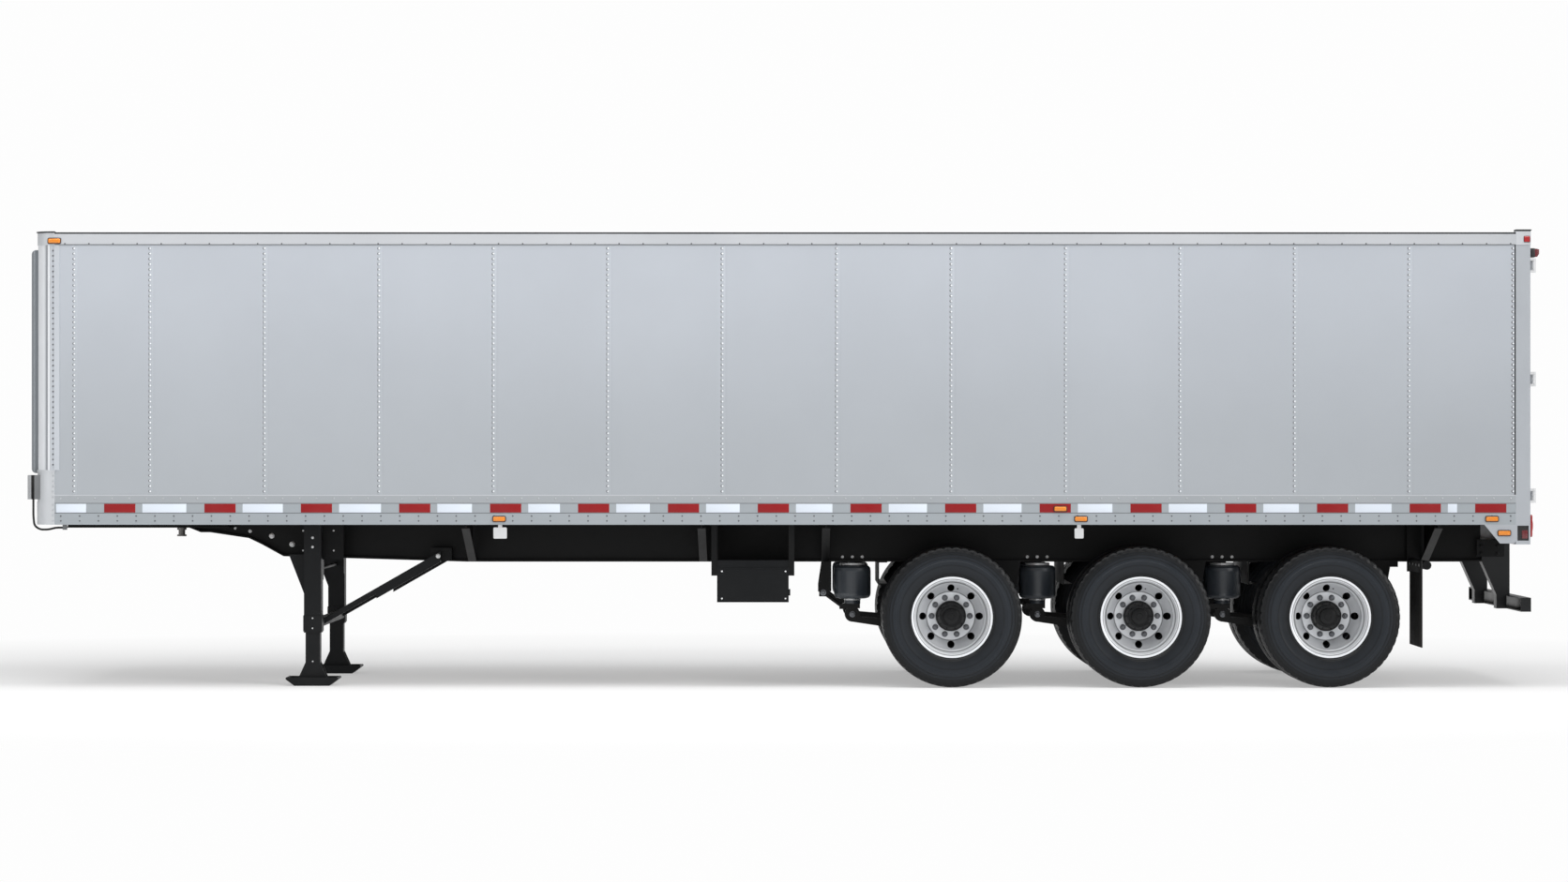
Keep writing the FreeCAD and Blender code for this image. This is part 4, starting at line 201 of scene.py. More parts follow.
def film_group():
    """Node group: road film that thickens towards the ground, with cloudy and fine grain."""
    group = group_of("road_film", "ShaderNodeTree", {
        "Color": ["Paint", "Film"],
        "Float": ["Film Amount", "Film Top", "Cloud", "Cloud Size", "Grain", "Grain Size",
                  "Rough Low", "Rough High"]},
        {"Color": ["Color"], "Float": ["Roughness", "Height"]})
    given = group.nodes.new("NodeGroupInput").outputs
    spot, place = own_place(group)
    cloud, grain = (node(group, "ShaderNodeTexNoise", {
        "Vector": spot, "Scale": given[size], "Detail": detail, "Roughness": 0.6}).outputs["Fac"]
        for size, detail in (("Cloud Size", 5), ("Grain Size", 3)))
    depth = ranged(group, place["Z"], given["Film Top"], 0.0, 0.25)
    patch = ranged(group, cloud, 0.35, 0.75)
    dirt = maths(group, "MULTIPLY", maths(group, "MULTIPLY", depth, patch), given["Film Amount"])
    swing = maths(group, "MULTIPLY", maths(group, "SUBTRACT", cloud, 0.5), given["Cloud"])
    lift = maths(group, "ADD", 1.0, maths(group, "MULTIPLY", swing, 2.0))
    tone = node(group, "ShaderNodeVectorMath", {0: given["Paint"], "Scale": lift},
                operation="SCALE").outputs[0]
    rough = ranged(group, cloud, 0.3, 0.7, given["Rough Low"], given["Rough High"])
    node(group, "NodeGroupOutput", {
        "Color": mixed(group, dirt, tone, given["Film"]),
        "Roughness": maths(group, "ADD", rough, maths(group, "MULTIPLY", dirt, 0.3)),
        "Height": maths(group, "MULTIPLY", grain, given["Grain"])})
    return group


road_film = film_group()


def relief(tree, height, distance):
    """A bumpy surface from a height."""
    bump = node(tree, "ShaderNodeBump", {"Height": height, "Distance": distance})
    feed(tree, tree.nodes["Principled BSDF"], {"Normal": bump.outputs[0]})


def finish(name, paint, film=(0.085, 0.08, 0.072), amount=0.35, top=1.6, cloud=0.08, size=1.6,
           grain=0.3, grain_size=220, rough=(0.35, 0.55), metallic=0.0, bump=0.0004, coat=0.0,
           shine=0.5):
    """A finish made of the road film group and a Principled shader."""
    material = bpy.data.materials.new(name)
    material.use_nodes = True
    tree = material.node_tree
    layer = node(tree, "ShaderNodeGroup", {
        "Paint": (*paint, 1), "Film": (*film, 1), "Film Amount": amount, "Film Top": top,
        "Cloud": cloud, "Cloud Size": size, "Grain": grain, "Grain Size": grain_size,
        "Rough Low": rough[0], "Rough High": rough[1]}, node_tree=road_film).outputs
    feed(tree, tree.nodes["Principled BSDF"], {
        "Base Color": layer["Color"], "Roughness": layer["Roughness"], "Metallic": metallic,
        "Coat Weight": coat, "Specular IOR Level": shine})
    relief(tree, layer["Height"], bump)
    return material


def cover(material, colour, mask=1.0, blend="MIX"):
    """Lay a colour, or the colours of a socket, over the paint where the mask is one."""
    tree = material.node_tree
    layer = [each for each in tree.nodes if each.type == "GROUP"][0]
    paint = layer.inputs["Paint"]
    under = paint.links[0].from_socket if paint.is_linked else tuple(paint.default_value)
    over = (*colour, 1) if isinstance(colour, tuple) else colour
    feed(tree, layer, {"Paint": mixed(tree, mask, under, over, blend)})


def zones(material, axis, stops):
    """Bands of paint along one axis of the object: (from, colour), each up to the next."""
    tree = material.node_tree
    place = own_place(tree)[1]
    for start, colour in stops:
        cover(material, colour, maths(tree, "GREATER_THAN", place[axis], start))


def dress(material, *names):
    """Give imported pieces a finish."""
    for name in names:
        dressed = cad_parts[name]
        dressed.data.materials.clear()
        dressed.data.materials.append(material)


chassis_black = finish(
    "chassis_black", (0.0022, 0.0026, 0.003), (0.035, 0.034, 0.032), 0.2, rough=(0.34, 0.5),
    shine=0.18)
dress(chassis_black, "frame_rails", "outriggers", "coupler_plate", "leg_mounts", "hangers",
      "toolbox_bars", "crossmembers")
dress(finish(
    "guard_black", (0.004, 0.0048, 0.0058), (0.04, 0.039, 0.037), 0.15, rough=(0.28, 0.4),
    shine=0.35), "underride_posts", "underride_bar")
dress(finish(
    "kingpin_steel", (0.16, 0.155, 0.15), (0.05, 0.045, 0.04), 0.5, 1.4, rough=(0.28, 0.5),
    metallic=0.9), "kingpin")

# ---- tyres
# Road tyres 280 mm wide: a bead, a bulged sidewall with a moulded ring and scuff rib, and a
# tread of five ribs between four grooves whose shoulders are cut into lugs.
tyre_rubber = finish(
    "tyre_rubber", (0.0155, 0.0195, 0.0255), (0.014, 0.0145, 0.0155), 0.25, 1.5, 0.25, 6, 0.6, 420,
    (0.36, 0.48), shine=0.28)
AXLE_STEP = 1.405
TYRE_HALF, TYRE_R, BEAD_R, RIM_GAP, LUGS, LUG_DEEP = 0.14, 0.524, 0.2875, 0.33, 50, 0.008


def centre(name):
    """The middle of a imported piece's box: x, y, z."""
    return [(low + high) / 2 for low, high in zip(*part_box(name))]


first_axle, axle_z = centre("wheels_axle_1_left")[0], centre("tyres_axle_1_left")[2]
tyre_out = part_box("tyres_axle_1_left")[0].y


def placed(name, body, mesh, sharp):
    """A piece of the visual model from its mesh, with edges kept sharp above an angle."""
    mesh.shade_smooth()
    mesh.set_sharp_from_angle(angle=radians(sharp))
    made = show(name, mesh)
    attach(made, body)
    return made


def piece(name, material, build, body="trailer"):
    """A piece of the visual model from a function that fills a mesh."""
    bm = bmesh.new()
    build(bm)
    bmesh.ops.recalc_face_normals(bm, faces=bm.faces)
    mesh = bpy.data.meshes.new(name)
    bm.to_mesh(mesh)
    bm.free()
    mesh.materials.append(material)
    return placed(name, body, mesh, 32)


def wheel_radius(tree):
    """Sockets of the distance from the nearest axle and from the middle of the van."""
    place = own_place(tree)[1]
    from_first = maths(tree, "SUBTRACT", place["X"], first_axle)
    along = maths(tree, "WRAP", from_first, AXLE_STEP / 2, -AXLE_STEP / 2)
    up = maths(tree, "SUBTRACT", place["Z"], axle_z)
    radius = maths(tree, "SQRT", maths(tree, "ADD", maths(tree, "MULTIPLY", along, along),
                                       maths(tree, "MULTIPLY", up, up)))
    return radius, maths(tree, "ABSOLUTE", place["Y"])


def rings(material, stops):
    """Rings of painted light and shade round each axle: (radius, share of the paint that is seen).
    """
    tree = material.node_tree
    share_out = maths(tree, "DIVIDE", wheel_radius(tree)[0], TYRE_R)
    ramp = node(tree, "ShaderNodeValToRGB", {"Fac": share_out})
    marks = ramp.color_ramp.elements
    while len(marks) < len(stops):
        marks.new(1.0)
    for mark, (place, share) in zip(marks, stops):
        mark.position = place / TYRE_R
        mark.color = (share, share, share, 1)
    cover(material, ramp.outputs["Color"], blend="MULTIPLY")


# Half of the tyre's section, from the bead to the middle of the tread: (y, radius).
TYRE_WALL = [
    (0.104, BEAD_R), (0.108, 0.296), (0.1205, 0.316), (0.1235, 0.3185), (0.1235, 0.3235),
    (0.127, 0.327), (0.1345, 0.362), (0.1372, 0.384), (0.1385, 0.3865), (0.1385, 0.39),
    (0.1382, 0.392), (0.1392, 0.405), (0.14, 0.409), (0.14, 0.418), (0.1372, 0.4215),
    (0.1352, 0.441), (0.1365, 0.4425), (0.136, 0.4475), (0.134, 0.4495), (0.132, 0.463),
    (0.1332, 0.4645), (0.1322, 0.4695), (0.13, 0.4715), (0.1262, 0.489), (0.124, 0.491),
    (0.1228, 0.499), (0.1195, 0.5095), (0.1105, 0.5195)]
TREAD = [(0.074, 0.5222), (0.072, 0.5085), (0.063, 0.5085), (0.061, 0.523), (0.029, 0.5236),
         (0.027, 0.509), (0.018, 0.509), (0.016, TYRE_R)]
SHOULDER_R, SHOULDER_Y = 0.495, 0.1


def tyre_mesh(bm, middle, axle_x):
    """One tyre about an axle: mirrored section, with lugs cut into both shoulders."""
    half = TYRE_WALL + TREAD
    section = half + [(-y, r) for y, r in half[::-1]]
    rows = []
    for i in range(LUGS * 4):
        angle = tau * i / (LUGS * 4)
        row = []
        for y, r in section:
            cut = LUG_DEEP if i % 4 == 0 and r > SHOULDER_R and abs(y) > SHOULDER_Y else 0.0
            row.append(bm.verts.new((axle_x + (r - cut) * sin(angle), middle + y * (1 - cut),
                                     axle_z + (r - cut) * cos(angle))))
        rows.append(row)
    for row, after in zip(rows, rows[1:] + rows[:1]):
        for j in range(len(row)):
            k = (j + 1) % len(row)
            bm.faces.new((row[j], row[k], after[k], after[j]))


# Every wheel: number, side, sign across the van, place along it, body.
WHEELS = [(number, side, sign, centre(f"wheels_axle_{number}_left")[0],
           f"wheel_axle_{number}_{side}")
          for number in (1, 2, 3) for side, sign in (("left", -1), ("right", 1))]
# Painted light and shade on the tyre faces: thin dark rings in the sidewall's grooves, darker bands
# at the bead and the shoulder, and the bulge kept lightest.
rings(tyre_rubber, [
    (0.3, 0.25), (0.316, 0.35), (0.322, 0.12), (0.33, 0.45), (0.372, 0.75), (0.3845, 0.6),
    (0.388, 0.3), (0.393, 0.8), (0.43, 1.0), (0.44, 0.85), (0.4445, 0.25), (0.45, 0.7),
    (0.462, 0.75), (0.467, 0.12), (0.473, 0.4), (0.485, 0.3), (0.49, 0.06), (0.497, 0.2),
    (0.524, 0.1)])
for number, side, sign, axle_x, body in WHEELS:
    outer = sign * (-tyre_out - TYRE_HALF)
    tyres = piece(f"tyre_pair_{number}_{side}", tyre_rubber, lambda bm: [
        tyre_mesh(bm, outer - sign * gap, axle_x) for gap in (0, RIM_GAP)], body)
    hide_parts(f"tyres_axle_{number}_{side}")

# ---- wheels
# Polished aluminium disc wheels on ten-stud hubs: steel nuts on their studs, the black hub in
# the pilot hole with its stepped oil cap, and a valve stem that comes out through a hand hole.
POLISH = 0.35
polished = finish(
    "polished_wheel", (0.9, 0.92, 0.95), (0.34, 0.33, 0.31), 0.12, 1.4, 0.05, 5, 0.35, 600,
    (0.3, 0.42), POLISH, 0.0001)
WHEEL_MID, DISC, NUT_CIRCLE, NUTS = 0.975, 0.012, 0.1429, 10
DRUM_R, HUB_R, DRUM_FACE, HUB_FACE = 0.262, 0.119, WHEEL_MID - 0.004, WHEEL_MID + DISC + 0.001
UP = Vector((0, 0, 1))


def skin(bm, loops):
    """Closed skin over rings of points, with a cap at each end."""
    for low_loop, high_loop in zip(loops, loops[1:]):
        for i in range(len(low_loop)):
            j = (i + 1) % len(low_loop)
            bm.faces.new((low_loop[i], low_loop[j], high_loop[j], high_loop[i]))
    bm.faces.new(loops[0][::-1])
    bm.faces.new(loops[-1])


def turned(bm, at, axis, profile, steps, phase=0.0):
    """A profile of (along the axis, radius) turned about the axis; ends are capped."""
    axis = Vector(axis)
    side = UP if abs(axis.z) < 0.5 else Vector((1, 0, 0))
    other = axis.cross(side)
    loops = []
    for along, radius in profile:
        loops.append([bm.verts.new(Vector(at) + axis * along
                                   + side * radius * cos(phase + tau * i / steps)
                                   + other * radius * sin(phase + tau * i / steps))
                      for i in range(steps)])
    skin(bm, loops)


# Painted shade and highlight on the wheel faces: thin dark rings at the steps of the disc and the
# rim, a darker band inside the rim, and the outer flange at full brightness.
rings(polished, [
    (0.11, 0.85), (0.176, 0.95), (0.181, 0.35), (0.1845, 0.35), (0.188, 0.88), (0.235, 0.85),
    (0.254, 0.68), (0.258, 0.2), (0.262, 0.2), (0.266, 0.75), (0.2785, 0.9), (0.281, 0.22),
    (0.2845, 0.22), (0.288, 1.0), (0.32, 1.0)])

# The hub in front of the disc and the drum inboard of it are black, not polished.
tree = polished.node_tree
from_axle, across = wheel_radius(tree)
drum = maths(tree, "MULTIPLY", maths(tree, "LESS_THAN", across, DRUM_FACE),
             maths(tree, "LESS_THAN", from_axle, DRUM_R))
hub = maths(tree, "MULTIPLY", maths(tree, "GREATER_THAN", across, HUB_FACE),
            maths(tree, "LESS_THAN", from_axle, HUB_R))
black = maths(tree, "MAXIMUM", drum, hub)
cover(polished, (0.004, 0.004, 0.0045), black)
feed(tree, tree.nodes["Principled BSDF"], {
    "Metallic": ranged(tree, black, 0.0, 1.0, POLISH, 0.0)})

hub_black = finish(
    "hub_black", (0.004, 0.0045, 0.0053), (0.03, 0.028, 0.026), 0.25, 1.3, rough=(0.24, 0.36),
    shine=0.25)
zinc = finish(
    "zinc_steel", (0.72, 0.73, 0.74), (0.3, 0.27, 0.24), 0.3, 1.5, 0.1, 9, 0.3, 300, (0.3, 0.5),
    0.5, 0.0002)
nut_steel = finish(
    "nut_steel", (0.15, 0.157, 0.17), (0.08, 0.075, 0.07), 0.3, 1.5, 0.1, 9, 0.3, 300, (0.16, 0.28),
    0.9, 0.0002)
HUB_SECTION = [
    (0.0, 0.114), (0.04, 0.114), (0.046, 0.1115), (0.0555, 0.1115), (0.0575, 0.107),
    (0.0575, 0.087), (0.066, 0.083), (0.112, 0.083), (0.118, 0.079), (0.118, 0.06),
    (0.124, 0.0575), (0.1385, 0.0575), (0.1405, 0.054), (0.1405, 0.026), (0.1425, 0.024),
    (0.1425, 0.001)]
# Circles of small bolts on the hub: radius, distance out, number, size.
HUB_BOLTS = ((0.0975, 0.057, 10, 0.0075), (0.0695, 0.1175, 6, 0.0045))


def circle(axle_x, y, radius, count):
    """Places of fasteners on a circle about an axle, each with its angle."""
    for i in range(count):
        angle = tau * (i + 0.5) / count
        yield (axle_x + radius * sin(angle), y, axle_z + radius * cos(angle)), angle


def hub_mesh(bm, sign, axle_x):
    """The visible end of the hub: pilot ring, stepped cap and its end plug."""
    out = (0, sign, 0)
    turned(bm, (axle_x, sign * WHEEL_MID, axle_z), out, HUB_SECTION, 48)
    for ring_r, face, count, size in HUB_BOLTS:
        for at, angle in circle(axle_x, sign * (WHEEL_MID + face), ring_r, count):
            turned(bm, at, out, [(0, size), (0.006, size), (0.0075, size - 0.002)], 6, angle)


def nut_mesh(bm, sign, axle_x):
    """Ten hexagon nuts with their washers and stud ends, and the valve stem."""
    face, out = sign * (WHEEL_MID + DISC), (0, sign, 0)
    for at, angle in circle(axle_x, face, NUT_CIRCLE, NUTS):
        turned(bm, at, out, [(0, 0.0225), (0.003, 0.0225), (0.0038, 0.0215)], 18)
        turned(bm, at, out, [(0.0035, 0.0195), (0.023, 0.0195), (0.026, 0.0165)], 6, angle)
        turned(bm, at, out, [(0.025, 0.0105), (0.036, 0.0105), (0.038, 0.0085)], 12)
    stem = (axle_x + 0.05, face - sign * 0.02, axle_z + 0.205)
    turned(bm, stem, out, [(0, 0.004), (0.05, 0.004), (0.052, 0.0055), (0.066, 0.0055),
                           (0.068, 0.0045)], 10)


for number, side, sign, axle_x, body in WHEELS:
    dress(polished, f"wheels_axle_{number}_{side}")
    piece(f"hub_cap_{number}_{side}", hub_black,
          lambda bm: hub_mesh(bm, sign, axle_x), body)
    piece(f"wheel_nuts_{number}_{side}", nut_steel,
          lambda bm: nut_mesh(bm, sign, axle_x), body)

# ---- axles and air suspension
# Black trailing arms on rubber air springs: each bellows has a rolled lip, a bright bead plate,
# three bolts in the frame rail above it, and a bright pedestal plate under it.
axle_black = finish(
    "axle_black", (0.004, 0.0043, 0.0047), (0.05, 0.046, 0.042), 0.3, 1.3, rough=(0.35, 0.55),
    shine=0.25)
dress(axle_black, "axles", "suspension_arms", "brake_chambers")
bellows = finish(
    "bellows_rubber", (0.042, 0.052, 0.065), (0.07, 0.066, 0.06), 0.2, 1.3, 0.2, 5, 0.5, 500,
    (0.3, 0.42), 0.0, 0.0003, shine=0.7)
dress(bellows, "air_springs")
dress(finish(
    "tank_black", (0.006, 0.006, 0.0065), (0.05, 0.046, 0.042), 0.3, 1.4, rough=(0.3, 0.5),
    shine=0.35), "air_tanks")
SPRING_R = 0.14
spring_low, spring_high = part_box("air_springs")
frame_y = spring_high.y - SPRING_R
springs = [spring_low.x + SPRING_R + AXLE_STEP * i for i in range(3)]
# Bead plate and pedestal plate: foot, thickness, radius.
SPRING_PLATES = ((spring_high.z - 0.026, 0.017, 0.0935), (spring_low.z + 0.026, 0.016, 0.0625))
STUD = [(0, 0.013), (0.003, 0.013), (0.0032, 0.0105), (0.011, 0.0105), (0.012, 0.009)]


def pair(name, material, build):
    """A piece of the trailer, built for its left (-1) and its right (+1) side."""
    return piece(name, material, lambda bm: [build(bm, side) for side in (-1, 1)])


def spring_plates(bm, side):
    """Bead and pedestal plates of one side's air springs, and bolts in the rail above."""
    for x in springs:
        for z, height, radius in SPRING_PLATES:
            turned(bm, (x, side * frame_y, z), (0, 0, 1), [
                (0, radius - 0.002), (0.002, radius), (height - 0.002, radius),
                (height, radius - 0.002)], 40)
        for shift in (-0.075, 0.0, 0.075):
            at = (x + shift, side * (frame_y + 0.004), spring_high.z + 0.035)
            turned(bm, at, (0, side, 0), STUD, 6)


def bolt(bm, at, side, washer, head):
    """A round washer and the hexagon head on it, out of one side of the van."""
    turned(bm, at, (0, side, 0), washer, 20)
    turned(bm, at, (0, side, 0), head, 6)


def pivot_bolts(bm, side):
    """Bright heads of the pivot bolts of arms and levelling links."""
    for x in springs:
        for shift, z, out in ((0, 0.521, 0.045), (1.15, 0.5, 0.0575), (-0.222, 0.686, 0.0575)):
            bolt(bm, (x + shift, side * (frame_y + out), z), side,
                 [(0, 0.024), (0.004, 0.024), (0.005, 0.021)],
                 [(0.004, 0.016), (0.016, 0.016), (0.018, 0.013)])


def brace_channels(bm):
    """A channel across under the frame behind each air spring, open to the rear."""
    low, high, thin, half_long = 0.745, 0.9205, 0.008, 0.55
    for x in springs:
        front, rear = x + 0.195, x + 0.265
        outline = [(front, low), (rear, low), (rear, low + thin), (front + thin, low + thin),
                   (front + thin, high - thin), (rear, high - thin), (rear, high), (front, high)]
        skin(bm, [[bm.verts.new((at_x, y, at_z)) for at_x, at_z in outline]
                  for y in (-half_long, half_long)])


pair("spring_plates", zinc, spring_plates)
pair("pivot_bolts", nut_steel, pivot_bolts)
piece("brace_channels", axle_black, brace_channels)

# ---- landing gear
# Two-speed landing legs in the chassis black; bright zinc bolts hold the mounting plates and
# the collar, and the sand shoes have side flanges and rolled, turned-up ends.
gear_black = finish(
    "gear_black", (0.0048, 0.0056, 0.0066), (0.045, 0.043, 0.04), 0.28, 0.7, rough=(0.36, 0.5),
    shine=0.22)
dress(gear_black, "landing_legs", "landing_feet", "leg_cross_members", "leg_braces")
LEG_TUBE, NECK_FACE = 0.13, 0.527
leg_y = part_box("landing_legs")[1].y - 0.005 - LEG_TUBE / 2
leg_x, shoe_y = centre("landing_feet")[0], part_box("landing_feet")[1].y - 0.125
leg_face, plate_face = leg_y + LEG_TUBE / 2, leg_y - LEG_TUBE / 2
# Bolts on the leg and its collar, on the neck web and on the mounting plate: x, y, z, radius.
LEG_BOLTS = [
    (leg_x, leg_face, 1.11, 0.01), (leg_x, leg_face, 1.04, 0.01),
    (leg_x, leg_face + 0.005, 0.505, 0.006), (leg_x, leg_face + 0.005, 0.43, 0.006),
    (leg_x, leg_y + 0.054, 0.18, 0.006),
    (-4.163, NECK_FACE, 1.172, 0.01), (-4.05, NECK_FACE, 1.15, 0.014),
    (-3.886, NECK_FACE, 1.115, 0.02), (-3.73, NECK_FACE, 1.051, 0.021),
    *((leg_x + x, plate_face, z, 0.007) for x in (-0.085, 0.145) for z in (1.16, 1.01))]
SHOE_OUTLINE = [(-0.13, 0.0005), (0.13, 0.0005), (0.1945, 0.0485), (0.1945, 0.06),
                (0.178, 0.0625), (-0.178, 0.0625), (-0.1945, 0.06), (-0.1945, 0.0485)]


def leg_bolts(bm, side):
    """Bolt heads on one leg and its collar, on its mounting plate and on the neck web."""
    for x, y, z, radius in LEG_BOLTS:
        bolt(bm, (x, side * y, z), side,
             [(-0.003, radius), (0.002, radius), (0.003, radius * 0.9)],
             [(0.002, radius * 0.72), (radius * 0.7, radius * 0.72), (radius * 0.8, radius * 0.6)])


def brace_bolts(bm, side):
    """Bolt through the upper end of each diagonal brace."""
    bolt(bm, (-2.605, side * 0.73, 0.967), side, [(0, 0.017), (0.004, 0.017), (0.005, 0.0145)],
         [(0.004, 0.012), (0.014, 0.012), (0.016, 0.009)])


def shoe_flanges(bm, side):
    """Side flanges of the pressed shoes and the rolled edges of their turned-up ends."""
    for edge in (-1, 1):
        skin(bm, [[bm.verts.new((leg_x + x, side * (shoe_y + edge * y), z))
                   for x, z in SHOE_OUTLINE] for y in (0.118, 0.1255)])
        turned(bm, (leg_x + edge * 0.1885, side * shoe_y - 0.123, 0.055), (0, 1, 0),
               [(0, 0.007), (0.002, 0.009), (0.244, 0.009), (0.246, 0.007)], 12)


pair("leg_bolts", zinc, leg_bolts)
pair("brace_bolts", zinc, brace_bolts)
pair("shoe_flanges", gear_black, shoe_flanges)

# ---- bottom and top rails
# Extruded aluminium rails: the wall laps behind a riveted flange, a flat face carries the
# reflective tape, and two rows of rivets below it hold the ends of the crossmembers.
EDGE_GREY, RAIL_BRIGHT, RAIL_TONE = (0.028, 0.031, 0.035), (0.58, 0.6, 0.63), (0.385, 0.42, 0.45)
rail_alloy = finish(
    "rail_alloy", RAIL_TONE, (0.28, 0.28, 0.27), 0.4, 1.7, 0.1, 1.1, 0.25, 260, (0.36, 0.52), 0.35,
    0.0002)
# Painted light: the top and front rails and the rear header take a brighter copy of the rail alloy,
# with a painted shadow line under the top rail's band; a dark band runs along the top edge.
bright_rail = finish(
    "bright_rail", RAIL_BRIGHT, (0.36, 0.35, 0.33), 0.3, 1.7, 0.08, 1.1, 0.25, 260, (0.34, 0.48),
    0.3, 0.0002)
zones(bright_rail, "Z", [(3.2905, (0.16, 0.17, 0.18)), (3.2975, RAIL_BRIGHT), (3.3735, EDGE_GREY)])
# Painted shade and highlight on the bottom rails: dark lines along both edges of the tape face,
# where the rail steps, and a bright band along the top of the flange.
zones(rail_alloy, "Z", [(1.2985, (0.13, 0.14, 0.15)), (1.3035, RAIL_TONE),
                        (1.371, (0.15, 0.16, 0.17)), (1.3755, (0.4, 0.425, 0.45)),
                        (1.4305, (0.6, 0.62, 0.65))])
dress(rail_alloy, "bottom_rails")
dress(bright_rail, "top_rails", "front_rails", "rear_header")


def rivet_group():
    """Node group: rows of domed rivet heads along edges, each head facing out of its sheet."""
    group = group_of("rivet_rows", "GeometryNodeTree", {
        "Geometry": ["Rows"], "Float": ["Pitch", "Radius", "Height"], "Material": ["Material"]},
        {"Geometry": ["Heads"]})
    given = group.nodes.new("NodeGroupInput").outputs

    def cone(low, high, foot, rise):
        """A ring of the head: shares of the radius and of the height."""
        made = node(group, "GeometryNodeMeshCone", {
            "Vertices": 8, "Radius Bottom": maths(group, "MULTIPLY", given["Radius"], low),
            "Radius Top": maths(group, "MULTIPLY", given["Radius"], high),
            "Depth": maths(group, "MULTIPLY", given["Height"], rise)}, fill_type="NGON")
        lift = node(group, "ShaderNodeCombineXYZ", {
            "Z": maths(group, "MULTIPLY", given["Height"], foot)})
        return node(group, "GeometryNodeTransform", {
            "Geometry": made.outputs["Mesh"], "Translation": lift.outputs[0]}).outputs[0]

    head = group.nodes.new("GeometryNodeJoinGeometry")
    for part in (cone(1.0, 0.8, -0.2, 0.8), cone(0.8, 0.35, 0.6, 0.4)):
        group.links.new(part, head.inputs[0])
    curve = node(group, "GeometryNodeMeshToCurve", {"Mesh": given["Rows"]})
    even = node(group, "GeometryNodeResampleCurve", {
        "Curve": curve.outputs[0], "Length": given["Pitch"]}, mode="LENGTH")
    facing = node(group, "GeometryNodeInputNamedAttribute", {"Name": "facing"},
                  data_type="FLOAT_VECTOR")
    turn = node(group, "FunctionNodeAlignRotationToVector", {
        "Vector": facing.outputs["Attribute"]}, axis="Z")
    put = node(group, "GeometryNodeInstanceOnPoints", {
        "Points": even.outputs[0], "Instance": head.outputs[0], "Rotation": turn.outputs[0]})
    real = node(group, "GeometryNodeRealizeInstances", {"Geometry": put.outputs[0]})
    paint = node(group, "GeometryNodeSetMaterial", {
        "Geometry": real.outputs[0], "Material": given["Material"]})
    node(group, "NodeGroupOutput", {"Heads": paint.outputs[0]})
    return group


rivet_rows = rivet_group()


def rivets(name, material, rows, pitch, radius, height, body="trailer"):
    """Rivet heads along rows of (start, end, facing), baked to one plain mesh."""
    mesh = bpy.data.meshes.new(name + "_rows")
    points = [end for start, stop, facing in rows for end in (start, stop)]
    mesh.from_pydata(points, [(2 * i, 2 * i + 1) for i in range(len(rows))], [])
    facing = mesh.attributes.new("facing", "FLOAT_VECTOR", "POINT")
    facing.data.foreach_set("vector", [value for row in rows for _ in range(2) for value in row[2]])
    lines = show(name + "_rows", mesh)
    nodes = lines.modifiers.new("rivets", "NODES")
    nodes.node_group = rivet_rows
    values = {"Pitch": pitch, "Radius": radius, "Height": height, "Material": material}
    for item in rivet_rows.interface.items_tree:
        if item.name in values:
            nodes[item.identifier] = values[item.name]
    seen = lines.evaluated_get(bpy.context.evaluated_depsgraph_get())
    heads = bpy.data.meshes.new_from_object(seen)
    bpy.data.objects.remove(lines)
    return placed(name, body, heads, 60)


def level_rows(heights, front, rear):
    """Level rows of rivets on both rails."""
    return [((front, side * RAIL_FACE, z), (rear, side * RAIL_FACE, z), (0, side, 0))
            for side in (-1, 1) for z in heights]


RAIL_FRONT, RAIL_REAR = -5.36, 5.4
rivet_steel = finish(
    "rivet_heads", (0.5, 0.52, 0.545), (0.32, 0.31, 0.29), 0.25, 1.6, 0.05, 3, 0.2, 500,
    (0.28, 0.4), 0.5, 0.0001)
# Painted shade: a darker copy of the rivet finish, for the heads along the rails and down the nose
# posts.
shaded_rivet = finish(
    "shaded_rivets", (0.12, 0.125, 0.135), (0.2, 0.19, 0.18), 0.3, 1.6, 0.1, 9, 0.2, 500, (0.3, 0.45),
    0.4, 0.0001)
rivets("flange_rivets", rivet_steel,
       level_rows([1.409], RAIL_FRONT, RAIL_REAR), 0.1255, 0.0075, 0.0042)
rivets("rail_rivets", shaded_rivet,
       level_rows([1.279, 1.243], RAIL_FRONT, RAIL_REAR), 0.139, 0.0068, 0.0038)
rivets("cant_rivets", shaded_rivet,
       level_rows([3.3015], -5.33, RAIL_REAR), 0.176, 0.0062, 0.0034)

# ---- side, front and roof skins
# Sheet aluminium walls in panels 850 mm wide: each joint is a lap with one column of domed
# rivets and a soft crease where the rivets pull the sheet in. The roof is one skin on bows.
PANEL, END_SEAM, FIRST_SEAM, FULL_PANELS, END_ROW = 0.8495, -5.261, -4.698, 12, 5.419
seams = [END_SEAM] + [FIRST_SEAM + PANEL * i for i in range(FULL_PANELS)]
wall_low, wall_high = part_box("side_wall_left")
WALL_FACE, FLANGE_TOP, WALL_TOP = -wall_low.y, 1.436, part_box("top_rails")[0].z


